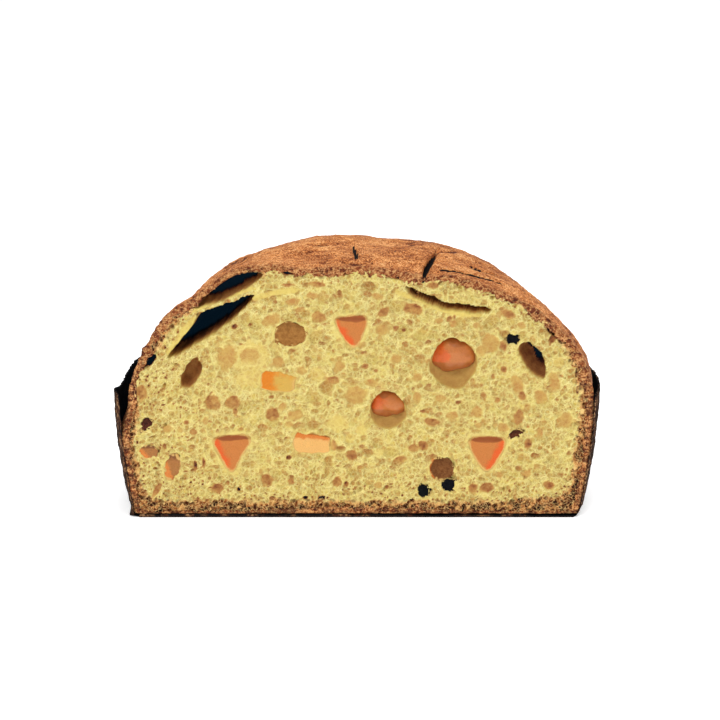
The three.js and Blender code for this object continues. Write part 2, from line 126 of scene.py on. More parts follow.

# Pockets that the cut has opened: outline x, z, depth, drift of the far end, how brown its walls are,
# partly painted shade, and from which share of the depth on it is black, a painted shadow.
POCKETS = {
    "under the left crust": (
        [(-75, 97), (-67, 104.6), (-57.9, 110.9), (-47, 113.6), (-41.6, 111.6), (-49, 106), (-61, 99.9)],
        12, (3, 1.4), 0.42, 0.58,
    ),
    "below it": (
        [(-83.9, 74.2), (-76, 85.3), (-68, 95.3), (-57, 99.2), (-45.2, 103.2), (-53.8, 93), (-65.9, 83.8)],
        30, (5, 2.5), 0.62, 0.36,
    ),
    "slit under the right crust": (
        [(21.6, 107), (30, 103.9), (41, 99.6), (57.6, 97.6), (57.4, 95.2), (41.4, 96.3), (28, 100.8)],
        14, (1, 1.6), 0.62, 0.8,
    ),
    "round hole with the large lump": (
        [(43.3, 83.4), (51.3, 78.8), (53.8, 70), (46.2, 60), (37, 62.4), (32.5, 71), (36.6, 80)],
        8.5, (0, 1), 0.25, None,
    ),
    "round hole with the small lump": (
        [(14.1, 58.9), (20.8, 54.3), (21.9, 46), (14.1, 41.2), (6.5, 45.6), (7.2, 54.7)],
        7, (0, 1), 0.25, None,
    ),
    "hole beside the left pocket": (
        [(-71.4, 74.4), (-68.8, 69.1), (-73.5, 60.8), (-78.8, 62), (-76, 70)],
        9, (0, 1), 0.5, None,
    ),
    "long hole at the right": (
        [(72, 79), (75.4, 81.6), (80.8, 78.4), (84, 72), (83.8, 65.6), (80, 65.6), (74.4, 71.6)],
        11, (1.5, 1), 0.58, 0.84,
    ),
    "gap under the left shoulder": (
        [(-94.2, 75), (-89.2, 75.8), (-91, 71.6), (-95.2, 70.2)],
        6, (0, 0), 0.9, 0.5,
    ),
    "gap under the right shoulder": (
        [(84.6, 89.6), (89.4, 86.4), (90.6, 83), (86.2, 85.4)],
        6, (0, 0), 0.9, 0.5,
    ),
}

# Candied wedges: outline of the hole that each sits in, and the side where its skin glows, in degrees.
WEDGES = {
    "candied_wedge_top": (
        [(-10, 92.6), (-2.9, 94.2), (4.8, 93.8), (4.2, 86.6), (-0.7, 78.8), (-6.9, 84.3)], 215,
    ),
    "candied_wedge_left": (
        [(-64.9, 37), (-56, 39.4), (-47, 37.4), (-51.6, 28), (-56.2, 20.5), (-62.4, 28.5)], 200,
    ),
    "candied_wedge_right": (
        [(50.1, 37), (59.5, 38.6), (67.7, 36.4), (64.6, 27.1), (58.4, 20.8), (52.4, 28.5)], -25,
    ),
}
WEDGE_DEPTH = 11
WEDGE_RECESS = 0.9
WEDGE_HEADROOM = 2.4

# Strips of candied peel: middle x, z, length, height, slope in degrees.
PEELS = {
    "candied_peel_upper": (-35, 63.2, 15.6, 8.6, -7),
    "candied_peel_lower": (-20, 34.7, 16.8, 8.4, -5),
}
PEEL_DEPTH = 9

# Fruit seen whole at the back of its hole: middle x, behind the face, z, and radii.
WHOLE_FRUIT = {
    "candied_lump_large": ((43.4, 9.2, 75.2), (9.8, 6.6, 7.4)),
    "candied_lump_small": ((14.2, 7.6, 52.7), (7.3, 5.2, 5.7)),
}

# Fruit that the knife has sliced: middle x, z, radii x, depth, z, and how far its face lies back.
SLICED_FRUIT = {
    "raisin_upper": (-29.4, 85.2, (7.6, 7, 5.9), 0.7),
    "raisin_lower": (38.4, 22.8, (5.9, 6.4, 5.8), 0.6),
    "raisin_dark_left": (30.5, 12.4, (3.2, 4, 3.1), 0.9),
    "raisin_dark_right": (41.6, 15, (3.8, 4.2, 3), 0.9),
    "raisin_by_long_hole": (69.4, 83, (3.2, 3.4, 2.7), 0.6),
    "raisin_by_right_wedge": (71.7, 39, (3.3, 3.6, 2.3), 0.8),
    "raisin_by_case": (-94.4, 43.4, (2.8, 3.6, 3.6), 0.8),
    "candied_bit_corner": (-83.2, 23.4, (3.8, 4.6, 6.8), 0.8),
    "candied_bit_case": (-93.6, 30.6, (4.4, 4.2, 3.2), 0.7),
}

# Air holes that the cut has opened, by how dark they look inside: x, z, half width, half height, tilt.
# Each kind has its depth as a share of the smaller half, and its tone from 0 (pale) to 1 (dark): painted
# shade inside the hole, and the black ones a painted shadow.
AIR_HOLES = {
    "pale": (0.2, 0.09, [
        (-46.7, 74.6, 9.2, 7.4, 0), (-47.3, 64.8, 8.9, 5.3, 0), (-17.4, 66.9, 3.4, 3.5, 0),
        (-8.2, 43.7, 5.3, 4.3, 0), (1.9, 41.2, 2.7, 2.8, 0), (-2.9, 37, 2.7, 2.3, 0),
        (10.4, 30.5, 3.7, 1.9, 0), (90.1, 72.4, 3, 2.3, 0),
    ]),
    "ochre": (0.4, 0.26, [
        (-57.6, 73.9, 4.1, 6.7, -15), (-48, 75.3, 4.4, 4.2, 0), (-37.8, 91.6, 4.8, 3, 25),
        (-35.1, 72.5, 2.7, 3.2, 0), (-0.6, 57, 6, 4.8, 0), (-19.4, 102.8, 3.7, 1.4, -8),
        (-28.3, 100, 3.4, 1.7, 10), (-25.2, 96.5, 2.9, 1.4, 10), (-7.8, 70.4, 2.7, 2.5, 0),
        (-24.2, 68.3, 2.7, 2.1, 0), (-27.4, 47.8, 3.9, 2.6, 10), (-30.2, 43.6, 2.1, 1.5, 0),
        (-67.8, 45.2, 1.4, 2.2, 0), (-84.9, 41.5, 2.3, 2.1, 0), (-79.5, 40.8, 1.4, 1.5, 0),
        (-33.4, 51.8, 1.8, 2.4, -20), (9.3, 102.6, 2.7, 1.7, 0), (36.6, 91.5, 2.2, 1.7, 0),
        (42.8, 90, 2.2, 1.9, 0), (53.2, 89.2, 2.2, 1.5, 0), (59.8, 80.8, 4.3, 5.3, 20),
        (55.4, 77.7, 2.2, 2.8, 0), (73.5, 89.2, 2.2, 1.5, -20), (27.3, 65.5, 2.7, 2.3, 0),
        (72, 61.7, 3, 4.7, 10), (88.6, 63.2, 2.5, 4.6, 10), (27, 56.1, 2.2, 2.9, 0),
        (37.7, 55.7, 3, 1.9, -10), (53.9, 49.2, 3, 3.4, 0), (82, 56.1, 3.1, 3.7, 20),
        (93.8, 45.4, 3.3, 4.2, 0), (82.7, 39.3, 1.5, 2.4, 0), (76.8, 20.2, 2.1, 1.7, 0),
        (64.2, 19.8, 1.8, 1.5, 0), (55, 43.1, 1.9, 1.5, 0), (9.6, 14.8, 2.2, 1.9, 0),
        (42.8, 47.7, 3, 2.3, 0), (6.7, 62.9, 3.3, 2.3, 0), (11.5, 87.3, 3.3, 3.1, 10),
        (17.7, 73.9, 2.6, 2.4, 0), (65.7, 41.9, 3, 2.3, -20),
    ]),
    "brown": (0.5, 0.44, [
        (-16.7, 93, 3.5, 2.7, -10), (-10.6, 64.1, 3, 2.1, 0), (-17.4, 108.1, 4, 1.4, -5),
        (-30.3, 107.8, 3.4, 0.7, 0), (-96.4, 58.4, 3.1, 3.5, 0), (-64.6, 53.4, 3.7, 4.3, 0),
        (-55.4, 53.4, 3.5, 3.4, 0), (-54.2, 49.6, 1.3, 1.8, 0), (-38, 47.8, 3.3, 3.8, 0),
        (-73.5, 40, 2, 1.6, 0), (-76.3, 44.5, 1.4, 1.2, 0), (-40.5, 17.4, 3.1, 3.2, 0),
        (-63.2, 13.2, 3, 2.5, 0), (-29.5, 16.5, 1.7, 1.8, 0), (-8.9, 16.2, 2.4, 2.6, 0),
        (-2.2, 29, 2.7, 2.9, 0), (25.1, 96.8, 4.4, 2.6, -12), (12.2, 95.3, 2.8, 2, 20),
        (17.4, 88.1, 1.5, 1.4, 0), (65.3, 80, 1.5, 2.8, 15), (67.2, 94.6, 3.8, 2, -25),
        (65.7, 69.3, 1.8, 1.7, 0), (34, 107.5, 2.5, 1.7, -10), (34, 44.6, 3.3, 2.1, -10),
        (19.6, 27, 2.8, 1.9, 0), (72.7, 46.9, 2.4, 3.8, -15), (77.5, 34.3, 1.8, 2.4, 0),
        (52.8, 13.7, 2.2, 2.1, 0), (58.7, 13.7, 3.7, 2.4, 0), (87.1, 14.8, 3, 2.3, -10),
        (74.2, 56.8, 1.6, 2.3, 0), (63.1, 54.9, 1.5, 1.4, 0), (29.9, 33.5, 2.8, 2.6, 0),
        (25.5, 32.4, 2.5, 2.1, 0), (-90.2, 12.9, 1.4, 4.3, -30), (4.1, 70.5, 1.3, 1.4, 0),
        (-10.4, 33.4, 1.7, 2.9, 0),
    ]),
    "dark": (1.0, 0.58, [
        (-4.7, 15.4, 1.2, 1.5, 0), (-30.6, 27.9, 1.4, 1.3, 0), (-72.8, 23.9, 0.9, 3.4, 0),
        (-68.9, 25.4, 0.9, 2.6, 0), (21.1, 86.9, 1, 0.9, 0), (13.7, 14, 1, 1.1, 0),
        (29.6, 49.6, 1.6, 0.7, -10), (45.8, 53.9, 1.5, 0.8, 0), (-38, 8.5, 1.6, 1.2, 0),
        (-71.4, 7.4, 1.4, 1.1, 0), (-67.8, 7.7, 1.3, 0.9, 0), (-54.2, 88.7, 1.8, 1.1, 30),
        (-47.3, 89.4, 1, 0.8, 0), (-86.3, 33.1, 1, 1.5, 0), (87.1, 83.1, 1.6, 3.4, -30),
    ]),
    "black": (1.6, 0.95, [
        (-53.3, 12.9, 0.9, 1, 0), (-23.1, 8.8, 1.4, 1.1, 0), (-16, 8.5, 1.8, 1, 20),
        (-4.7, 5.2, 2.4, 1.3, 0), (24.8, 6, 1.3, 0.9, 0), (71.6, 5.6, 1.5, 1.1, 0),
        (63.5, 5.6, 1.5, 0.9, 0), (-101.2, 30.5, 1.2, 2.2, 15), (-99, 24.3, 1.1, 1.3, 0),
        (-98.7, 9.2, 1, 1.5, 0), (99.3, 28.6, 1.5, 2.6, -10), (98.2, 67.4, 0.8, 2.3, 0),
        (98.9, 59.4, 0.8, 2, 0), (-88.9, 83.1, 1.2, 1.3, 0), (101.5, 36.2, 1.2, 1.8, 20),
        (-28.5, 113.3, 4.4, 1.4, 2), (-6.2, 113.4, 4.2, 1.3, -3), (20.6, 111, 7, 1.2, -6),
    ]),
}

# Smooth stretches of stretched dough: x, z along each, and half its width.
CALM_STRIPS = [
    ([(-83, 76.5), (-78, 84.5), (-72.6, 91.5)], 2.1),
    ([(-45, 101.6), (-36.5, 104.2), (-27, 105.6)], 1.7),
    ([(-75, 95), (-62, 100.5), (-46, 106.5)], 1.2),
    ([(18, 104.6), (30, 100), (41, 95.6), (54, 94)], 1.5),
]

# The photograph's camera.
PHOTO_SIDE = 720  # pixels
MM_PER_PIXEL = 0.445
CAMERA_AWAY = 1000
CAMERA_ELEVATION = math.radians(15)
LOOKED_AT = (1.56, CUT_Y, 73.7)
SENSOR = 36


# Small mathematics.

def smooth(low, high, value):
    """A smooth step from 0 at low to 1 at high: t squared times (3 - 2t)."""
    t = np.clip((value - low) / (high - low), 0, 1)
    return t * t * (3 - 2 * t)


def scatter(whole, seed):
    """A number from 0 to 1 for each row of whole numbers, the same each time: a mixed-up hash."""
    mixed = np.full(whole.shape[:-1], seed, dtype=np.uint64) * np.uint64(0x9E3779B97F4A7C15)
    for axis in range(whole.shape[-1]):
        mixed ^= whole[..., axis].astype(np.int64).astype(np.uint64) * np.uint64(0xC2B2AE3D27D4EB4F)
        mixed = (mixed ^ (mixed >> np.uint64(29))) * np.uint64(0xBF58476D1CE4E5B9)
        mixed ^= mixed >> np.uint64(32)
    return (mixed >> np.uint64(11)).astype(np.float64) / float(1 << 53)


def cloud(places, size, seed):
    """Soft lumps from -1 to 1 of a given size: the corners' numbers, blended smoothly within each cube."""
    scaled = places / size
    low = np.floor(scaled)
    share = scaled - low
    share = share * share * (3 - 2 * share)
    total = np.zeros(places.shape[:-1])
    dimensions = places.shape[-1]
    for corner in range(2 ** dimensions):
        pick = np.array([(corner >> axis) & 1 for axis in range(dimensions)])
        weight = np.prod(np.where(pick, share, 1 - share), axis=-1)
        total += weight * scatter(low + pick, seed)
    return total * 2 - 1


def layered(places, size, seed, layers=3, fade=0.5):
    """Clouds on clouds: each layer half the size of the last and fainter by fade."""
    total = sum(fade ** k * cloud(places, size / 2 ** k, seed + 17 * k) for k in range(layers))
    return total / sum(fade ** k for k in range(layers))


def cells(flat, size, seed):
    """Jittered cells on a plane: distances to the nearest and second seed, and the nearest's number."""
    scaled = flat / size
    home = np.floor(scaled)
    nearest = np.full(len(flat), 9.0)
    second = np.full(len(flat), 9.0)
    number = np.zeros(len(flat))
    for dx in (-1, 0, 1):
        for dz in (-1, 0, 1):
            cell = home + (dx, dz)
            seed_at = cell + np.stack([scatter(cell, seed), scatter(cell, seed + 1)], -1)
            away = np.hypot(*(scaled - seed_at).T)
            closer = away < nearest
            second = np.where(closer, nearest, np.minimum(second, away))
            number = np.where(closer, scatter(cell, seed + 2), number)
            nearest = np.minimum(nearest, away)
    return nearest * size, second * size, number


def bubbles(flat, size, seed, keep, radii):
    """Bubbles strewn on a jittered grid, each stretched a little one way.

    Returns q, from 0 in the middle of the nearest one to 1 at its edge and beyond, then that bubble's
    number from 0 to 1, its radius, and how high in it each place lies, from -1 to 1.
    """
    scaled = flat / size
    home = np.floor(scaled)
    q = np.full(len(flat), 9.0)
    number, radius, up = (np.zeros(len(flat)) for _ in range(3))
    for dx in (-1, 0, 1):
        for dz in (-1, 0, 1):
            cell = home + (dx, dz)
            seed_at = cell + 0.1 + 0.8 * np.stack([scatter(cell, seed), scatter(cell, seed + 1)], -1)
            wide = radii[0] + (radii[1] - radii[0]) * scatter(cell, seed + 4) ** 1.7
            stretch = 0.8 + 0.45 * scatter(cell, seed + 6)
            off = (scaled - seed_at) * size
            here = np.hypot(off[:, 0] / (wide * stretch), off[:, 1] * stretch / wide)
            here = np.where(scatter(cell, seed + 3) < keep, here, 9)
            closer = here < q
            number = np.where(closer, scatter(cell, seed + 5), number)
            radius = np.where(closer, wide, radius)
            up = np.where(closer, np.clip(off[:, 1] / wide, -1, 1), up)
            q = np.minimum(q, here)
    return q, number, radius, up


def smooth_curve(points, count, closed):
    """Evenly spaced points on a smooth curve through the given ones, cubic between each pair."""
    knots = np.asarray(points, float)
    if closed:
        padded = np.vstack([knots[-1], knots, knots[:2]])
    else:
        padded = np.vstack([2 * knots[0] - knots[1], knots, 2 * knots[-1] - knots[-2]])
    t = np.linspace(0, 1, 25)[:-1, None]
    parts = []
    for a, b, c, d in zip(padded, padded[1:], padded[2:], padded[3:]):
        parts.append(0.5 * (2 * b + (c - a) * t + (2 * a - 5 * b + 4 * c - d) * t**2
                            + (3 * b - a - 3 * c + d) * t**3))
    dense = np.vstack(parts + [padded[-2][None]])
    return even_steps(dense, count, closed)


def even_steps(line, count, closed):
    """The same line with evenly spaced points along its length."""
    run = np.concatenate([[0], np.cumsum(np.linalg.norm(np.diff(line, axis=0), axis=1))])
    want = np.linspace(0, run[-1], count + 1)[:-1] if closed else np.linspace(0, run[-1], count)
    return np.stack([np.interp(want, run, line[:, k]) for k in range(line.shape[1])], -1)


def distance_to_line(flat, line):
    """Distance from each place to a chain of straight stretches, and the nearest point on it."""
    start, run = line[:-1], np.diff(line, axis=0)
    length = np.sum(run * run, axis=1) + 1e-12
    best = np.full(len(flat), 1e9)
    nearest = np.zeros_like(flat)
    for first in range(0, len(flat), 20000):
        part = flat[first:first + 20000]
        t = np.clip(np.einsum("psk,sk->ps", part[:, None] - start, run) / length, 0, 1)
        foot = start + t[..., None] * run
        away = np.linalg.norm(part[:, None] - foot, axis=2)
        pick = np.argmin(away, axis=1)
        rows = np.arange(len(part))
        best[first:first + 20000] = away[rows, pick]
        nearest[first:first + 20000] = foot[rows, pick]
    return best, nearest


def inside_outline(flat, outline):
    """Whether each place is inside a closed outline: an odd number of its sides lie to the right."""
    inside = np.zeros(len(flat), bool)
    x, z = flat.T
    for (ax, az), (bx, bz) in zip(outline, np.roll(outline, -1, axis=0)):
        spans = (az > z) != (bz > z)
        with np.errstate(divide="ignore", invalid="ignore"):
            crossing = ax + (z - az) / (bz - az) * (bx - ax)
        inside ^= spans & (x < crossing)
    return inside


# Meshes.

def grid_faces(rows, columns, wrap):
    """Triangles over a grid of points, row by row; with wrap, the last column meets the first."""
    across = columns if wrap else columns - 1
    i, j = np.meshgrid(np.arange(rows - 1), np.arange(across), indexing="ij")
    a = (i * columns + j).ravel()
    b = (i * columns + (j + 1) % columns).ravel()
    return np.vstack([
        np.stack([a, b, b + columns], -1),
        np.stack([a, b + columns, a + columns], -1),
    ])


def welded(places, faces, closeness=1e-4):
    """Points closer than closeness become one, and faces left with fewer than three corners go."""
    keys = np.round(places / closeness).astype(np.int64)
    _, first, back = np.unique(keys, axis=0, return_index=True, return_inverse=True)
    faces = back.ravel()[faces]
    a, b, c = faces.T
    return first, faces[(a != b) & (b != c) & (a != c)]


def volume(places, faces):
    """Six times the volume that a closed surface holds, positive when its faces point outwards."""
    a, b, c = (places[faces[:, k]] for k in range(3))
    return float(np.sum(a * np.cross(b, c)))


def add_piece(name, places, faces, material, nodes, slot, **attributes):
    """Puts a closed surface, given in millimetres, into the scene as a piece of the object."""
    kept, faces = welded(places, faces)
    places = places[kept]
    if volume(places, faces) < 0:
        faces = faces[:, ::-1]
    mesh = bpy.data.meshes.new(name)
    mesh.vertices.add(len(places))
    mesh.vertices.foreach_set("co", (places * MM).astype(np.float32).ravel())
    mesh.loops.add(faces.size)
    mesh.loops.foreach_set("vertex_index", np.ascontiguousarray(faces, dtype=np.int32).ravel())
    mesh.polygons.add(len(faces))
    mesh.polygons.foreach_set("loop_start", np.arange(0, faces.size, 3, dtype=np.int32))
    mesh.update(calc_edges=True)
    mesh.polygons.foreach_set("use_smooth", np.ones(len(faces), bool))
    for key, values in attributes.items():
        layer = mesh.attributes.new(key, "FLOAT", "POINT")
        layer.data.foreach_set("value", values[kept].astype(np.float32))
    mesh.materials.append(material)
    piece = bpy.data.objects.new(name, mesh)
    bpy.context.scene.collection.objects.link(piece)
    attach(piece, "root")
    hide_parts(*nodes)
    return piece


# The loaf's outer shape.

def case_radius(height):
    """Outer radius of the case: a straight lean with half a sine of bow."""
    share = height / CASE_HEIGHT
    lean = CASE_BASE_RADIUS + (CASE_RIM_RADIUS - CASE_BASE_RADIUS) * share
    return lean + CASE_BOW * np.sin(np.pi * share)


def loaf_outline():
    """The loaf's outline, distance from the axis and height, from the middle of its base to the crown."""
    side = []
    for share in (0, 0.04, 0.35, 0.7):
        height = FOOT + share * (CASE_HEIGHT - FOOT)
        side.append((case_radius(height) - PAPER - CLEARANCE, height))
    side[0] = (side[0][0] - WALL_FOOT, FOOT)
    upper = smooth_curve(side + SHOULDER_TO_CROWN, 400, False)
    base = np.stack([np.linspace(0, side[0][0], 60)[:-1], np.full(59, FOOT)], -1)
    return np.vstack([base, upper, [(0, CROWN_HEIGHT)]])


OUTLINE = loaf_outline()
SLOPE = np.arctan2(OUTLINE[:, 1] - HUB[2], OUTLINE[:, 0])
REACH = np.hypot(OUTLINE[:, 0], OUTLINE[:, 1] - HUB[2])


def swell(x, y):
    """How far the dome stands out: round lumps that fade like a bell, and fine crossed waves."""
    total = PUCKER * (np.sin(x / 6.1 + y / 14) + np.sin(y / 5.3 - x / 11))
    for sx, sy, rise, reach in SWELLS:
        total = total + rise * np.exp(-((x - sx) ** 2 + (y - sy) ** 2) / reach**2)
    return total


def shrink(azimuth, height):
    """How far the bread has shrunk from its case: the widest of the loose sides' bell curves."""
    widest = np.zeros_like(height)
    for middle, spread, gap in LOOSE_SIDES:
        apart = np.abs((azimuth - middle + 540) % 360 - 180) / spread
        widest = np.maximum(widest, gap * np.exp(-apart * apart))
    return widest * smooth(33, 56, height) * (1 - smooth(84, 100, height))


def beyond_crust(places):
    """Distance outside the crust, negative inside: the turned outline, moved by swells and shrinkage."""
    x, y, z = places[..., 0], places[..., 1], places[..., 2]
    out = np.hypot(x, y - AXIS_Y)
    slope = np.arctan2(z - HUB[2], out)
    reach = np.interp(slope, SLOPE, REACH)
    lean = (np.interp(slope + 0.01, SLOPE, REACH) - np.interp(slope - 0.01, SLOPE, REACH)) / 0.02
    steep = np.sqrt(1 + (lean / reach) ** 2)
    facing_out = (np.cos(slope) + lean / reach * np.sin(slope)) / steep
    moved = swell(x, y) * smooth(CASE_HEIGHT + 2, CASE_HEIGHT + 26, z)
    azimuth = np.degrees(np.arctan2(y - AXIS_Y, x))
    moved = moved - shrink(azimuth, z) * facing_out
    return (np.hypot(out, z - HUB[2]) - reach) / steep - moved


def ray_to_crust(turn, tilt):
    """Where rays from the hub meet the crust: turn goes round the cut face, tilt from the back to it."""
    ray = np.stack([np.sin(tilt) * np.cos(turn), np.cos(tilt), np.sin(tilt) * np.sin(turn)], -1)
    near = np.full(turn.shape, 5.0)
    far = np.full(turn.shape, 260.0)
    for _ in range(26):
        middle = (near + far) / 2
        outside = beyond_crust(HUB + ray * middle[..., None]) > 0
        far = np.where(outside, middle, far)
        near = np.where(outside, near, middle)
    return ray, (near + far) / 2


def rim_turns(count):
    """Turns about the hub that step evenly along the edge of the cut face, with its two lower corners."""
    turn = np.linspace(0, 2 * np.pi, 2401)
    ray, reach = ray_to_crust(turn, np.full_like(turn, np.pi / 2))
    line = (HUB + ray * reach[:, None])[:, ::2]
    run = np.concatenate([[0], np.cumsum(np.linalg.norm(np.diff(line, axis=0), axis=1))])
    return np.interp(np.linspace(0, run[-1], count + 1)[:-1], run, turn)


def groove(flat, path, width, depth):
    """Depth of a pointed groove along a path, open by half a sine that runs out at its far end."""
    line = smooth_curve(path, 40, False)
    away, nearest = distance_to_line(flat, line)
    lengths = np.concatenate([[0], np.cumsum(np.linalg.norm(np.diff(line, axis=0), axis=1))])
    along = np.argmin(np.linalg.norm(nearest[:, None] - line, axis=2), axis=1)
    share = lengths[along] / lengths[-1]
    opening = 0.2 + 0.8 * np.sin(np.pi * (0.2 + 0.78 * share))
    half = np.maximum(width * opening / 2, 0.35)
    return depth * opening * np.clip(1 - away / (half * 1.35), 0, 1) ** 0.8


def crack_depth(places, wider):
    """How deep the cracks are below each place, seen from above, if they were that much wider."""
    depth = np.zeros(len(places))
    for path, width, deep, _ in CRACKS:
        depth = np.maximum(depth, groove(places[:, :2], path, width * wider, deep))
    return depth


# Materials.

class Wire:
    """One output of a node, with arithmetic that adds the nodes it needs."""

    def __init__(self, paint, socket):
        self.paint = paint
        self.socket = socket

    def __add__(self, other):
        return self.paint.sum_of("ADD", self, other)

    def __radd__(self, other):
        return self.paint.sum_of("ADD", other, self)

    def __sub__(self, other):
        return self.paint.sum_of("SUBTRACT", self, other)

    def __rsub__(self, other):
        return self.paint.sum_of("SUBTRACT", other, self)

    def __mul__(self, other):
        return self.paint.sum_of("MULTIPLY", self, other)

    def __rmul__(self, other):
        return self.paint.sum_of("MULTIPLY", other, self)

    def highest(self, other):
        return self.paint.sum_of("MAXIMUM", self, other)

    def step(self, low, high):
        """A smooth step from 0 at low to 1 at high."""
        return self.paint.node("ShaderNodeMapRange", {"interpolation_type": "SMOOTHSTEP"},
                               {0: self, 1: low, 2: high, 3: 0.0, 4: 1.0})


class Paint:
    """A material's node tree, with one way to add any node."""

    def __init__(self, name, fixed):
        self.material = bpy.data.materials.new(name)
        self.material.use_nodes = True
        self.tree = self.material.node_tree
        self.tree.nodes.clear()
        self.shader = self.tree.nodes.new("ShaderNodeBsdfPrincipled")
        self.out = self.tree.nodes.new("ShaderNodeOutputMaterial")
        self.tree.links.new(self.shader.outputs[0], self.out.inputs[0])
        for key, value in fixed.items():
            self.shader.inputs[key].default_value = value
        self.places = self.node("ShaderNodeTexCoord", {}, {}, "Object")

    def node(self, kind, settings, inputs, output=0):
        """Adds a node, makes its settings, then fills its sockets with values or links."""
        made = self.tree.nodes.new(kind)
        for key, value in settings.items():
            setattr(made, key, value)
        for key, value in inputs.items():
            self.fill(made.inputs[key], value)
        return Wire(self, made.outputs[output])

    def fill(self, socket, value):
        if isinstance(value, Wire):
            self.tree.links.new(value.socket, socket)
        else:
            socket.default_value = value

    def sum_of(self, operation, first, second):
        return self.node("ShaderNodeMath", {"operation": operation}, {0: first, 1: second})

    def mix(self, first, second, share):
        """Two colours mixed by a share from 0 to 1."""
        return self.node("ShaderNodeMix", {"data_type": "RGBA"}, {0: share, 6: first, 7: second}, 2)

    def measure(self, name):
        """A number that the mesh holds at each point."""
        return self.node("ShaderNodeAttribute", {"attribute_name": name}, {}, "Fac")

    def lumps(self, size_mm, detail=2.0, rough=0.5, stretch=None, warp=0.0):
        """Noise from 0 to 1 with lumps of a size in millimetres."""
        places = self.places
        if stretch:
            places = self.node("ShaderNodeMapping", {}, {0: places, 3: stretch})
        return self.node("ShaderNodeTexNoise", {},
                         {"Vector": places, "Scale": 1 / (size_mm * MM), "Detail": detail,
                          "Roughness": rough, "Distortion": warp})

    def shaken(self, size_mm, reach_mm):
        """The object's places, each moved by soft noise, so that cells come out uneven."""
        noise = self.node("ShaderNodeTexNoise", {}, {"Vector": self.places, "Scale": 1 / (size_mm * MM)},
                          "Color")
        centred = self.node("ShaderNodeVectorMath", {"operation": "SUBTRACT"}, {0: noise, 1: (0.5,) * 3})
        moved = self.node("ShaderNodeVectorMath", {"operation": "SCALE"}, {0: centred, 3: reach_mm * MM})
        return self.node("ShaderNodeVectorMath", {"operation": "ADD"}, {0: self.places, 1: moved})

    def cells(self, size_mm, feature="F1", places=None, output="Distance"):
        """A field of cells: distances as a share of their size in millimetres, or each one's colour."""
        return self.node("ShaderNodeTexVoronoi", {"feature": feature},
                         {"Vector": places or self.places, "Scale": 1 / (size_mm * MM)}, output)

    def ramp(self, share, stops):
        """A colour for each share, from stops of place and colour."""
        made = self.tree.nodes.new("ShaderNodeValToRGB")
        elements = made.color_ramp.elements
        while len(elements) < len(stops):
            elements.new(0.5)
        for element, (place, colour) in zip(elements, stops):
            element.position = place
            element.color = colour
        self.fill(made.inputs[0], share)
        return Wire(self, made.outputs[0])

    def bump(self, height, distance_mm, strength=1.0):
        """A surface roughened by a height from 0 to 1."""
        return self.node("ShaderNodeBump", {},
                         {"Height": height, "Distance": distance_mm * MM, "Strength": strength}, "Normal")

    def finish(self, colour, roughness, normal=None, glow=None):
        for key, value in (("Base Color", colour), ("Roughness", roughness), ("Normal", normal),
                           ("Emission Color", glow)):
            if value is not None:
                self.fill(self.shader.inputs[key], value)
        return self.material


def tone(red, green, blue):
    """A colour given as a screen shows it, from 0 to 255, as light: each channel's screen curve undone."""
    def channel(value):
        share = value / 255
        return share / 12.92 if share <= 0.04045 else ((share + 0.055) / 1.055) ** 2.4
    return (channel(red), channel(green), channel(blue), 1.0)


def scaled_tone(colour, factor):
    return tuple(channel * factor for channel in colour[:3]) + (1.0,)


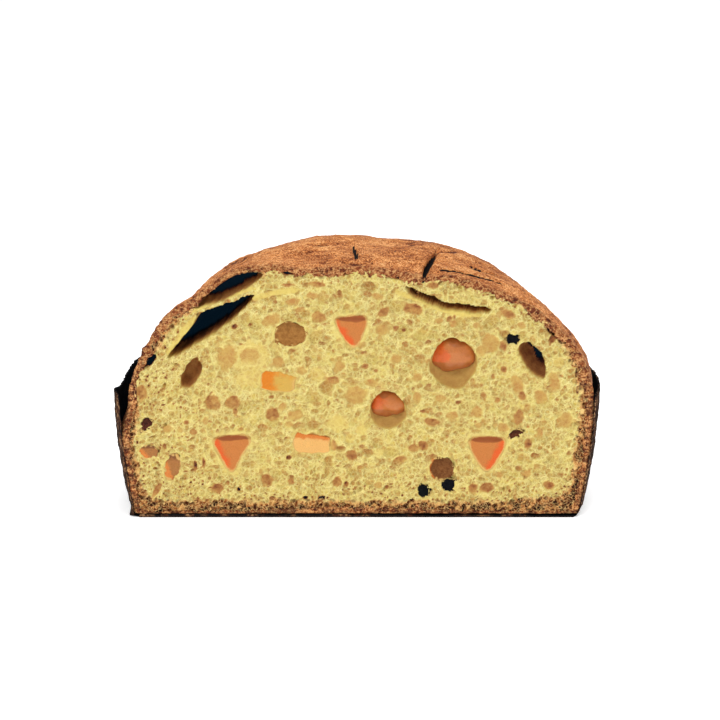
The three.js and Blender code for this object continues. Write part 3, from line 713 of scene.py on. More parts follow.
def crumb_material(colours):
    """Bright thin strands over ochre cells, browned towards the crust, with painted shade in the larger
    holes.
    """
    paint = Paint("crumb", {"Specular IOR Level": 0.1, "Emission Strength": 1.0})
    toast = paint.measure("toast")
    dark = paint.measure("dark")
    web = paint.measure("web")
    calm = paint.measure("calm")
    pore = paint.measure("pore")
    shaken = paint.shaken(2.2, 1.7)
    blotch = paint.lumps(9, 3)
    grain = paint.lumps(0.55, 2, 0.6)
    wide_net = 1 - paint.cells(2.3, "DISTANCE_TO_EDGE", shaken).step(0.03, 0.17)
    close_net = 1 - paint.cells(1.25, "DISTANCE_TO_EDGE", shaken).step(0.02, 0.2)
    chance = paint.node("ShaderNodeSeparateColor", {}, {0: paint.cells(1.25, "F1", shaken, "Color")})
    wide_chance = paint.node("ShaderNodeSeparateColor", {}, {0: paint.cells(2.3, "F1", shaken, "Color")})
    # The bright strands are the crumb's thin walls with painted highlight on them, over cells that carry
    # painted shade.
    strands = wide_net.highest(close_net * 0.62) * (grain.step(0.28, 0.55) * 0.6 + 0.4)
    strands = strands * (blotch.step(0.25, 0.6) * 0.3 + 0.7) * (1 - calm * 0.75)
    bright = strands.highest(web * (grain.step(0.25, 0.55) * 0.5 + 0.4))
    share = chance * 0.5 + wide_chance * 0.35 + (blotch - 0.5) * 0.9 + (grain - 0.5) * 0.5
    flesh = paint.mix(colours.crumb, colours.crumb_deep, (share * (1 - calm * 0.5)).step(0.12, 0.75))
    # Cell middles away from the close net are darkened: painted shade in the cells.
    flesh = paint.mix(flesh, tone(150, 100, 50), (share - close_net).step(0.72, 0.95) * (1 - calm) * 0.6)
    flesh = paint.mix(flesh, colours.crumb_light, bright * (1 - dark.step(0.35, 0.8) * 0.85) * 0.92)
    # Inside holes and pockets the tone runs from pale crumb through brown to blue-black as dark grows:
    # painted shade over the browned pocket walls, and the black a painted shadow.
    tan = dark + (grain - 0.5) * 0.22 + (blotch - 0.5) * 0.12 + (chance - 0.5) * 0.07
    wall = paint.ramp(tan, [
        (0.0, tone(218, 194, 112)), (0.18, tone(206, 168, 94)), (0.4, tone(188, 134, 76)),
        (0.62, tone(152, 94, 56)), (0.8, tone(74, 42, 36)), (0.94, tone(0, 12, 24)),
    ])
    flesh = paint.mix(flesh, wall, dark.step(0.02, 0.24) * (1 - bright * (1 - dark.step(0.3, 0.7)) * 0.5))
    char = paint.lumps(2.6, 4, 0.75)
    toast_net = 1 - paint.cells(1.6, "DISTANCE_TO_EDGE", shaken).step(0.04, 0.22)
    baked = paint.ramp(wide_chance * 0.42 + chance * 0.12 + grain * 0.2 + char * 0.6 - toast * 0.5 + 0.1, [
        (0.16, tone(24, 8, 6)), (0.3, tone(96, 46, 24)), (0.42, tone(172, 104, 54)),
        (0.54, tone(218, 160, 92)), (0.7, tone(238, 206, 132)),
    ])
    baked = paint.mix(baked, tone(240, 196, 128), toast_net * (grain.step(0.35, 0.6) * 0.75))
    flesh = paint.mix(flesh, baked, (toast + (char - 0.5) * 0.8).step(0.12, 0.5))
    # Dark pores in the toasted band: toasted brown with painted shade in the open pores.
    flesh = paint.mix(flesh, tone(60, 26, 16), pore * 0.92)
    # A faint blue-black glow where the pockets are deepest: a painted glow in the shade.
    glow = paint.mix(tone(0, 0, 0), tone(4, 17, 27), dark.step(0.88, 1.0) * (1 - toast.step(0, 0.2)))
    height = bright * 0.6 + grain * 0.3 - chance * 0.4
    return paint.finish(flesh, 0.85, paint.bump(height, 0.5, 0.9), glow)


def crust_material():
    """Orange-brown skin with fine grains, darker low down and in the creases, with a flaky torn rim.

    The darkening in the creases and the cracks is painted shade.
    """
    paint = Paint("crust", {"Specular IOR Level": 0.16})
    low = paint.measure("low")
    sunk = paint.measure("sunk")
    rim = paint.measure("rim")
    fold = paint.measure("fold")
    blotch = paint.lumps(16, 4, 0.6)
    speck = paint.lumps(0.75, 2, 0.6)
    fine = paint.lumps(0.4, 1, 0.5)
    streak = paint.lumps(3.4, 4, 0.62, (0.6, 1.1, 1.3), 0.6)
    shaken = paint.shaken(2, 1.2)
    dots = (1 - paint.cells(1.3, "F1", shaken).step(0.1, 0.36)) * speck.step(0.4, 0.6)
    pits = (1 - paint.cells(1.9, "F1", shaken).step(0.08, 0.26)) * fine.step(0.4, 0.6)
    shade = (blotch - 0.5) * 0.42 + (speck - 0.5) * 0.85 + (streak - 0.5) * 0.55 + (fine - 0.5) * 0.55
    # The folds lower the tone here: painted shade in the creases.
    skin = paint.ramp(shade + 0.5 - fold * 0.2, [
        (0.28, tone(92, 40, 16)), (0.4, tone(150, 80, 38)), (0.5, tone(196, 119, 62)),
        (0.6, tone(224, 152, 88)), (0.74, tone(246, 194, 132)),
    ])
    skin = paint.mix(skin, tone(244, 200, 142), dots * 0.5)
    skin = paint.mix(skin, tone(92, 42, 20), pits * 0.55)
    side = paint.ramp(shade + 0.5, [
        (0.32, tone(40, 18, 12)), (0.43, tone(98, 48, 26)), (0.54, tone(158, 90, 50)),
        (0.7, tone(216, 154, 100)),
    ])
    skin = paint.mix(skin, side, low)
    # Creases darker still: painted shade in the folds.
    skin = paint.mix(skin, tone(70, 30, 16), fold.step(0.45, 0.95) * 0.7)
    torn = paint.ramp(paint.lumps(2.6, 5, 0.72, (0.8, 1, 1.1)) * 0.75 + speck * 0.25, [
        (0.36, tone(22, 8, 8)), (0.44, tone(92, 40, 22)), (0.5, tone(158, 86, 44)),
        (0.57, tone(222, 160, 98)), (0.66, tone(240, 196, 128)),
    ])
    torn = paint.mix(torn, tone(124, 62, 34), (1 - low) * 0.4)
    edges = paint.cells(2.6, "DISTANCE_TO_EDGE", shaken)
    mouths = paint.cells(2.6, "F1", shaken)
    # Pale cell edges on the torn rim: painted highlight.
    torn = paint.mix(torn, tone(236, 182, 118), (1 - edges.step(0.03, 0.12)) * speck.step(0.35, 0.6) * 0.55)
    # Dark mouths of open pores on the torn rim: painted shade.
    torn = paint.mix(torn, tone(22, 8, 8), (1 - mouths.step(0.16, 0.36)) * blotch.step(0.35, 0.6) * 0.6)
    torn = paint.mix(torn, tone(60, 28, 18), low * streak.step(0.45, 0.62) * 0.7)
    skin = paint.mix(skin, torn, rim)
    # Near black deep in the cracks: painted shadow.
    skin = paint.mix(skin, tone(10, 8, 10), sunk.step(0.3, 0.62))
    height = speck * 0.5 + streak * 0.4 + dots * 0.3 - pits * 0.4
    return paint.finish(skin, paint.lumps(3, 2) * 0.2 + 0.58, paint.bump(height, 0.9, 1.0))


def paper_material(colours):
    """Dark paper, blue-black inside and brown-black outside, with a torn pale edge where it is cut.

    The inside's blue-black is partly painted shade.
    """
    paint = Paint("fluted paper", {"Specular IOR Level": 0.08})
    edge = paint.measure("edge")
    inside = paint.measure("inside")
    fibre = paint.lumps(0.7, 3, 0.6, (1, 1, 0.25))
    outer = paint.mix(colours.paper, tone(96, 66, 54), fibre.step(0.5, 0.85) * 0.6)
    # The inside painted blue-black: the paper darkened with painted shade.
    inner = paint.mix(tone(6, 12, 18), tone(22, 32, 38), fibre.step(0.45, 0.8))
    sheet = paint.mix(outer, inner, inside)
    sheet = paint.mix(sheet, tone(70, 38, 26), edge.step(0.05, 0.3) * 0.8)
    sheet = paint.mix(sheet, tone(196, 152, 108), edge * paint.lumps(1.2, 2).step(0.46, 0.58))
    return paint.finish(sheet, 0.8, paint.bump(fibre, 0.15, 0.5))


def candied_material(name, pale, bright, shade, gloss):
    """Translucent candied flesh: a bright skin side, a darker band in the dough's shade, soft edges."""
    paint = Paint(name, {"Specular IOR Level": 0.2, "Coat Weight": gloss, "Coat Roughness": 0.1,
                         "Subsurface Weight": 0.12, "Subsurface Scale": 0.002})
    skin = paint.measure("skin")
    shaded = paint.measure("shaded")
    blend = paint.measure("blend")
    veins = paint.lumps(1.6, 3, 0.6)
    grain = paint.lumps(0.5, 2, 0.7)
    flesh = paint.mix(pale, bright, (skin + (veins - 0.5) * 0.7 + (grain - 0.5) * 0.4).step(0.1, 0.9))
    flesh = paint.mix(flesh, scaled_tone(pale, 1.35), grain.step(0.55, 0.75) * 0.5)
    flesh = paint.mix(flesh, shade, (shaded + (veins - 0.5) * 0.4 + (grain - 0.5) * 0.3).step(0.25, 0.75))
    flesh = paint.mix(flesh, scaled_tone(shade, 0.7), (1 - grain.step(0.3, 0.46)) * 0.35)
    flesh = paint.mix(flesh, tone(212, 172, 100), (blend + (grain - 0.5) * 0.8).step(0.3, 0.9))
    return paint.finish(flesh, veins * 0.25 + 0.35, paint.bump(grain, 0.4, 0.5))


def raisin_material(name, dark, light, rough):
    """Wrinkled dried fruit, with dough clinging to its edge."""
    paint = Paint(name, {"Specular IOR Level": 0.06})
    shaded = paint.measure("shaded")
    skin = paint.measure("skin")
    blend = paint.measure("blend")
    folds = paint.lumps(1.6, 3, 0.55)
    grain = paint.lumps(0.5, 2, 0.7)
    flesh = paint.mix(dark, light, (folds * 0.6 + grain * 0.4).step(0.36, 0.64))
    flesh = paint.mix(flesh, scaled_tone(dark, 0.5), shaded)
    flesh = paint.mix(flesh, tone(196, 108, 50), (skin + (grain - 0.5) * 0.5).step(0.2, 0.8))
    flesh = paint.mix(flesh, tone(214, 180, 108), (blend + (grain - 0.5) * 1.3).step(0.42, 0.72))
    return paint.finish(flesh, rough, paint.bump(folds, 0.5, 0.7))


# Sizes and colours that a user would change.

class PanettoneSizes(bpy.types.PropertyGroup):
    crust_thickness: FloatProperty(
        name="Crust", description="Thickness of the browned crust at the cut",
        default=0.0026, min=0.0008, max=0.006, unit="LENGTH", subtype="DISTANCE")
    crumb_step: FloatProperty(
        name="Crumb step", description="Distance between the points of the cut face",
        default=0.000485, min=0.0004, max=0.004, unit="LENGTH", subtype="DISTANCE")
    foam_depth: FloatProperty(
        name="Foam depth", description="Depth of the finest air cells in the crumb",
        default=0.0006, min=0.0, max=0.002, unit="LENGTH", subtype="DISTANCE")
    flute_pitch: FloatProperty(
        name="Flute pitch", description="Distance between two flutes of the paper case",
        default=0.003, min=0.0015, max=0.01, unit="LENGTH", subtype="DISTANCE")


class PanettoneColours(bpy.types.PropertyGroup):
    crumb: FloatVectorProperty(
        name="Crumb", description="Colour of the crumb", size=4, subtype="COLOR",
        default=tone(217, 192, 100), min=0, max=1)
    # The cell walls' colour is laid on the strands and rims, partly as painted highlight.
    crumb_light: FloatVectorProperty(
        name="Cell walls", description="Colour of the crumb's thin walls", size=4, subtype="COLOR",
        default=tone(244, 232, 156), min=0, max=1)
    crumb_deep: FloatVectorProperty(
        name="Air cells", description="Colour inside the crumb's cells", size=4, subtype="COLOR",
        default=tone(186, 142, 66), min=0, max=1)
    paper: FloatVectorProperty(
        name="Paper", description="Colour of the paper case outside", size=4, subtype="COLOR",
        default=tone(40, 26, 20), min=0, max=1)


def sizes():
    return bpy.context.scene.panettone_sizes


def colours():
    return bpy.context.scene.panettone_colours


# The crumb.

def sink(flat, sheet, outline, deep, drift, tint_and_shade, ragged=0.0, painted_shadow_from=None):
    """Presses a bag-shaped hole into the face, inside an outline, and darkens its far end.

    With q from 0 at the rim to 1 along the middle, the wall goes back as the sine of a quarter turn
    while its width shrinks as the root of 1 - (0.94 t) ** 2.4, and the rest of q closes the back. The
    wall's tint grows from the rim inwards, partly as painted shade, and the wall under the roof turns black,
    a painted shadow, round the given share of the depth, and the floor further in.
    """
    low, high = outline.min(0) - 3, outline.max(0) + 3
    near = np.flatnonzero(np.all((flat > low) & (flat < high), axis=1))
    spots = flat[near]
    if ragged:
        spots = spots + ragged * np.stack([cloud(spots, 1.7, 91), cloud(spots, 1.7, 92)], -1)
    away, foot = distance_to_line(spots, np.vstack([outline, outline[:1]]))
    inside = inside_outline(spots, outline)
    near, away, foot, spots = near[inside], away[inside], foot[inside], spots[inside]
    widest = away.max()
    q = np.clip(away / widest, 0, 1)
    back = np.sin(np.minimum(q / 0.72, 1) * np.pi / 2)
    shrunk = 1 - np.sqrt(1 - (0.94 * back) ** 2.4)
    closing = smooth(0.72, 1, q)
    wanted = widest * (shrunk + (1 - shrunk) * closing)
    inward = (spots - foot) / np.maximum(away, 1e-6)[:, None]
    sheet["move"][near] = inward * (wanted - away)[:, None] + np.asarray(drift) * back[:, None]
    sheet["sunk"][near] = np.maximum(sheet["sunk"][near], deep * back)
    # The walls' tint grows from the rim inwards: painted shade over the browned walls of the pockets.
    mottled_and_shaded = tint_and_shade * (1 + 0.22 * layered(spots, 3.2, 93, 3)) * smooth(-0.05, 0.4, back)
    # Painted shadow: black under the roof from the given share of the depth on, and everywhere further in.
    if painted_shadow_from is not None:
        under_roof = smooth(-0.3, 0.4, -inward[:, 1])
        black = smooth(painted_shadow_from - 0.2, painted_shadow_from + 0.05, back) * under_roof
        black = np.maximum(black, smooth(painted_shadow_from + 0.12, painted_shadow_from + 0.4, back))
        mottled_and_shaded = mottled_and_shaded + (1 - mottled_and_shaded) * black
    sheet["wall"][near] = mottled_and_shaded


def press_air_hole(flat, depth, x, z, half_width, half_height, tilt, share, index):
    """A slanted oval hollow: the depth of a ball's surface, with an uneven edge.

    Returns the rows it touches, each one's share q of the way from its middle to its edge, and how far
    up in the hole it lies, from -1 to 1.
    """
    reach = 1.6 * max(half_width, half_height) + 1
    near = np.flatnonzero(np.all(np.abs(flat - (x, z)) < reach, axis=1))
    spots = flat[near] - (x, z)
    angle = math.radians(tilt)
    along = spots[:, 0] * math.cos(angle) + spots[:, 1] * math.sin(angle)
    across = spots[:, 1] * math.cos(angle) - spots[:, 0] * math.sin(angle)
    uneven = 1 + 0.2 * cloud(flat[near], 2.8, 300 + index) + 0.09 * cloud(flat[near], 1.1, 600 + index)
    q = np.hypot(along / half_width, across / half_height) * uneven
    smaller = min(half_width, half_height)
    hollow = share * smaller * np.sqrt(np.clip(1 - q**2.2, 0, 1))
    depth[near] = np.maximum(depth[near], hollow)
    return near, q, np.clip(across / half_height, -1, 1)


def cut_face_grid(step):
    """Square cells over the cut face, cut off at the crust: places, faces and the edge's outline.

    Cells with a corner inside the outline are kept, and their outside corners are drawn in to it.
    """
    turn = rim_turns(CRUST_COLUMNS)
    ray, reach = ray_to_crust(turn, np.full_like(turn, np.pi / 2))
    rim = (HUB + ray * reach[:, None])[:, ::2]
    inset = 1.5 + 0.6 * layered(np.stack([turn * 100, turn * 0], -1), 3.0, 103, 3)
    edge = (HUB + ray * (reach - inset)[:, None])[:, ::2]
    xs = np.arange(edge[:, 0].min() - step, edge[:, 0].max() + step, step)
    zs = np.arange(edge[:, 1].min() - step, edge[:, 1].max() + step, step)
    flat = np.stack(np.meshgrid(xs, zs), -1).reshape(-1, 2)
    faces = grid_faces(len(zs), len(xs), False)
    inside = inside_outline(flat, edge)
    faces = faces[inside[faces].any(axis=1)]
    used, back = np.unique(faces, return_inverse=True)
    flat, faces, inside = flat[used], back.reshape(-1, 3), inside[used]
    outside = np.flatnonzero(~inside)
    _, foot = distance_to_line(flat[outside], np.vstack([edge, edge[:1]]))
    flat[outside] = foot
    return flat, faces, rim


def closed_behind(places, faces):
    """Closes the face behind: its edge is carried back just under the crust and drawn to one point."""
    edges = np.vstack([faces[:, [0, 1]], faces[:, [1, 2]], faces[:, [2, 0]]])
    keys = edges[:, 0] * len(places) + edges[:, 1]
    back_keys = edges[:, 1] * len(places) + edges[:, 0]
    border = edges[~np.isin(keys, back_keys)]
    corners, index = np.unique(border, return_inverse=True)
    index = index.reshape(-1, 2)
    turn = np.arctan2(places[corners, 2] - HUB[2], places[corners, 0])
    rings, joined = [places], [faces]
    previous = corners
    total = len(places)
    for tilt, under in CRUMB_BACK:
        ray, reach = ray_to_crust(turn, np.full_like(turn, math.radians(tilt)))
        under = under + 1.9 * crack_depth(HUB + ray * reach[:, None], 3.4)
        ring = HUB + ray * (reach - under)[:, None]
        ring[:, 2] = np.maximum(ring[:, 2], FOOT + 0.5)
        here = total + np.arange(len(corners))
        a, b = previous[index[:, 0]], previous[index[:, 1]]
        c, d = here[index[:, 0]], here[index[:, 1]]
        joined += [np.stack([b, a, c], -1), np.stack([b, c, d], -1)]
        rings.append(ring)
        previous = here
        total += len(corners)
    rings.append(np.array([[0, CUT_Y + 62, 52.0]]))
    a, b = previous[index[:, 0]], previous[index[:, 1]]
    joined.append(np.stack([b, a, np.full(len(a), total)], -1))
    return np.vstack(rings), np.vstack(joined)


def foam(flat, bent, dense, sheet):
    """A net of small cells pressed into the sheet, with larger ochre bubbles and small pits over it.

    Each cell is deepest in its middle and its edge stays up as a thin wall, with painted shade in its middle
    and painted highlight on the wall. A bubble's tone, painted shade, grows with its number, and is darker
    at its top, where the light doesn't reach; its bright ring is painted highlight, and the dark pits
    painted shade.
    """
    nearest, second, number = cells(bent, 2.5, 7)
    wall = second - nearest
    sheet["foam"] = sheet["deepest"] * (0.4 + 1.3 * number) * smooth(0.15, 1.1, wall)
    # Cell middles darkened by a random amount: painted shade; the web on the walls is painted highlight.
    sheet["dark"] = (0.03 + 0.3 * number**3) * smooth(0.2, 0.9, wall)
    sheet["web"] = 0.75 * (1 - smooth(0.12, 0.5, wall))
    covered = np.zeros(len(flat))
    for size, seed, keep, radii, darkest, spread in (
        (8.0, 11, 0.66, (1.5, 3.6), 0.34, 1 - dense),
        (4.2, 31, 0.85, (0.8, 2.0), 0.46, 1 - 0.5 * dense),
    ):
        q, number, radius, up = bubbles(bent, size, seed, keep, radii)
        q = q / np.maximum(0.3, spread)
        inside = (1 - smooth(0.6, 1.06, q)) * (1 - 0.55 * covered)
        # A bright ring round each bubble: painted highlight on its rim.
        ring = np.exp(-((q - 1.12) / 0.14) ** 2) * (1 - 0.5 * covered)
        # The bubble's inside is darkened, more at its top: painted shade.
        tint_and_shade = 0.08 + darkest * number**2 + 0.1 * up * (0.5 + number)
        bowl = np.sqrt(np.clip(1 - q * q, 0, 1)) * (1 - 0.4 * covered)
        hollow = sheet["deepest"] * 1.3 * radius * bowl
        sheet["foam"] = np.maximum(sheet["foam"] * (1 - 0.5 * inside), hollow)
        sheet["dark"] = np.maximum(sheet["dark"] * (1 - 0.6 * inside), inside * tint_and_shade)
        sheet["web"] = np.maximum(sheet["web"] * (1 - 0.75 * inside), ring * (0.4 + 0.6 * number))
        covered = np.maximum(covered, inside)
    q, number, radius, up = bubbles(bent, 1.9, 51, 0.75, (0.35, 0.8))
    pit = (1 - smooth(0.55, 1.05, q)) * (1 - covered) * (0.25 + 0.75 * dense) * smooth(0.35, 0.6, number)
    # Small pits painted dark: painted shade in them.
    sheet["dark"] = np.maximum(sheet["dark"], pit * (0.38 + 0.5 * number))
    sheet["foam"] = np.maximum(sheet["foam"], radius * pit)


def air_holes(flat, sheet):
    """The air holes seen in the photograph, with thin bright walls round the paler ones.

    Inside each is painted shade, and the bright walls are painted highlight on the rims.
    """
    ovals = [(share, tint_and_shade, *oval) for share, tint_and_shade, kind in AIR_HOLES.values() for oval in kind]
    for index, (share, tint_and_shade, x, z, half_width, half_height, tilt) in enumerate(ovals):
        rows, q, up = press_air_hole(flat, sheet["holes"], x, z, half_width, half_height, tilt, share, index)
        rough = q + 0.1 * cloud(flat[rows], 0.8, 1200 + index)
        inside = 1 - smooth(0.7, 1.04, rough)
        # A bright ring round the paler holes: painted highlight on the rim.
        ring = np.exp(-((rough - 1.12) / 0.12) ** 2) * (tint_and_shade < 0.9)
        sheet["calm"][rows] = np.maximum(sheet["calm"][rows], 0.6 * inside)
        sheet["web"][rows] = np.maximum(sheet["web"][rows] * (1 - 0.8 * inside), 0.85 * ring)
        # Darker in a core a little below the middle and towards the top: painted shade in the hollow.
        painted_core_shade = np.exp(-((flat[rows] - (x, z - 0.2 * half_height)) ** 2).sum(1)
                      / (0.4 * half_width * half_height + 0.3))
        lumps = 0.4 * layered(flat[rows], 2.0, 400 + index, 3) + 0.2 * cloud(flat[rows], 0.9, 900 + index)
        mottled_and_shaded = tint_and_shade * (1 + lumps + 0.2 * up + 0.3 * painted_core_shade * scatter(np.array([[index]]), 5)[0])
        sheet["dark"][rows] = sheet["dark"][rows] * (1 - inside) + inside * mottled_and_shaded


def halo(flat, sheet, outline, strength, wide=1.0):
    """A calm pale ring of crumb round a piece of fruit."""
    low, high = outline.min(0) - 4, outline.max(0) + 4
    near = np.flatnonzero(np.all((flat > low) & (flat < high), axis=1))
    away, _ = distance_to_line(flat[near], np.vstack([outline, outline[:1]]))
    ring = np.exp(-((away / wide) ** 2)) * strength
    sheet["web"][near] = np.maximum(sheet["web"][near] * (1 - ring), 0.7 * ring)
    sheet["calm"][near] = np.maximum(sheet["calm"][near], 0.6 * ring)
    sheet["dark"][near] *= 1 - 0.8 * ring


def drawn_in(outline, by):
    """An outline with each point moved towards its middle."""
    middle = outline.mean(0)
    reach = np.linalg.norm(outline - middle, axis=1, keepdims=True)
    return middle + (outline - middle) * (reach - by) / reach


def seats(flat, sheet):
    """Pockets and the seats of the fruit."""
    for outline, deep, drift, tint_and_shade, painted_shadow_from in POCKETS.values():
        sink(flat, sheet, smooth_curve(outline, 90, True), deep, drift, tint_and_shade, 0.45, painted_shadow_from)
    for outline, _ in WEDGES.values():
        hole = smooth_curve(outline, 60, True)
        halo(flat, sheet, hole, 0.8, 1.5)
        sink(flat, sheet, drawn_in(hole, 0.5), WEDGE_DEPTH + CLEARANCE, (0, 0), 0.2)
    for place in PEELS.values():
        hole = peel_outline(*place, 0)
        halo(flat, sheet, hole, 0.7, 1.1)
        sink(flat, sheet, peel_outline(*place, -0.5), PEEL_DEPTH + CLEARANCE, (0, 0), 0.2)
    turn = np.linspace(0, 2 * np.pi, 41)[:-1]
    for name, (x, z, (rx, ry, rz), recess) in SLICED_FRUIT.items():
        lean_x, lean_z = LEANS.get(name, (0, 0))
        across, up = (rx - 0.1) * np.cos(turn), (rz - 0.1) * np.sin(turn)
        oval = np.stack([x + across + lean_x * up, z + up + lean_z * across], -1)
        halo(flat, sheet, oval, 0.85, 0.9)
        ragged = 1.1 if max(rx, rz) < 5 else 0.7 if max(rx, rz) < 7 else 0.4
        sink(flat, sheet, drawn_in(oval, 0.3), ry + recess + CLEARANCE, (0, 0), 0.3, ragged)


def browning(flat):
    """How far the crust's brown reaches into the cut face: by place, and more round the dome's pocket."""
    x, z = flat.T
    band = 2.4 + 5.8 * smooth(15, 6, z) + 4.4 * smooth(64, 92, x) * smooth(104, 84, z)
    band += 3.0 * smooth(-84, -98, x) * smooth(62, 44, z) + 5 * smooth(-66, -80, x) * smooth(66, 80, z)
    upper_edge = np.array(POCKETS["under the left crust"][0][:5], float)
    away, _ = distance_to_line(flat, upper_edge)
    return band + 5 * np.exp(-((away / 2.6) ** 2))


def make_crumb():
    """The cut face: a flat sheet of square cells pressed in by foam, air holes, pockets and fruit seats."""
    flat, faces, rim = cut_face_grid(sizes().crumb_step / MM)
    count = len(flat)
    from_rim, _ = distance_to_line(flat, np.vstack([rim, rim[:1]]))
    warp = np.stack([cloud(flat, 9, 5), cloud(flat, 9, 6)], -1) * 1.3
    fine_warp = np.stack([cloud(flat, 1.9, 7), cloud(flat, 1.9, 8)], -1) * 0.42
    bent = flat + warp + fine_warp
    x, z = flat.T
    dense = np.clip(smooth(26, 8, z) + 0.8 * smooth(10, 3, from_rim) + 0.8 * smooth(-58, -86, x), 0, 1)
    sheet = {key: np.zeros(count) for key in ("foam", "holes", "dark", "web", "calm", "sunk", "wall")}
    sheet["move"] = np.zeros((count, 2))
    sheet["deepest"] = sizes().foam_depth / MM
    foam(flat, bent, dense, sheet)
    air_holes(flat, sheet)
    for path, wide in CALM_STRIPS:
        away, _ = distance_to_line(flat, smooth_curve(path, 20, False))
        strip = smooth(wide, wide * 0.5, away)
        sheet["calm"] = np.maximum(sheet["calm"], strip)
        sheet["dark"] *= 1 - 0.7 * strip
        sheet["web"] *= 1 - 0.8 * strip

    # Browning towards the crust, with open dark pores: toasted brown with painted shade in them, and bright
    # rims round them as painted highlight.
    band = browning(flat)
    toast = 1 - smooth(0.2, 1.15, from_rim / band + 0.36 * layered(flat, 3.4, 41, 4, 0.65))
    pore = np.zeros(count)
    for size, seed, keep, radii in ((3.4, 71, 0.8, (0.7, 1.5)), (1.9, 81, 0.8, (0.35, 0.8))):
        q, number, radius, up = bubbles(bent, size, seed, keep, radii)
        hole = (1 - smooth(0.6, 1.0, q)) * smooth(0.04, 0.3, toast)
        sheet["holes"] = np.maximum(sheet["holes"], 1.3 * radius * np.sqrt(np.clip(1 - q * q, 0, 1)) * hole)
        pore = np.maximum(pore, hole * (0.35 + 0.65 * number) * (0.8 - 0.2 * up))
        sheet["web"] = np.maximum(sheet["web"], np.exp(-((q - 1.15) / 0.15) ** 2) * smooth(0.1, 0.4, toast))

    seats(flat, sheet)
    in_hole = smooth(0.2, 0.6, sheet["sunk"])
    pressed = sheet["foam"] * (1 - 0.8 * sheet["calm"])
    depth = np.where(sheet["sunk"] > 0.4, sheet["sunk"] + 0.3 * pressed, np.maximum(pressed, sheet["holes"]))
    dark = np.where(sheet["sunk"] > 0.05, np.maximum(sheet["wall"], 0.05), sheet["dark"])
    placed = flat + sheet["move"]
    lumpy = 0.4 * layered(flat, 12, 61, 3) * smooth(1, 6, from_rim)
    places = np.stack([placed[:, 0], CUT_Y + 0.45 + depth + lumpy, placed[:, 1]], -1)
    places, all_faces = closed_behind(places, faces)

    def with_back(values, back):
        return np.concatenate([np.clip(values, 0, 1), np.full(len(places) - count, float(back))])

    add_piece("crumb", places, all_faces, crumb_material(colours()), ["bread"], "bread",
              web=with_back(sheet["web"] * (1 - in_hole), 0),
              calm=with_back(np.maximum(sheet["calm"], in_hole), 0),
              toast=with_back(toast * (1 - 0.7 * in_hole), 1),
              pore=with_back(pore * (1 - in_hole), 0),
              dark=with_back(dark, 0))


# The crust.

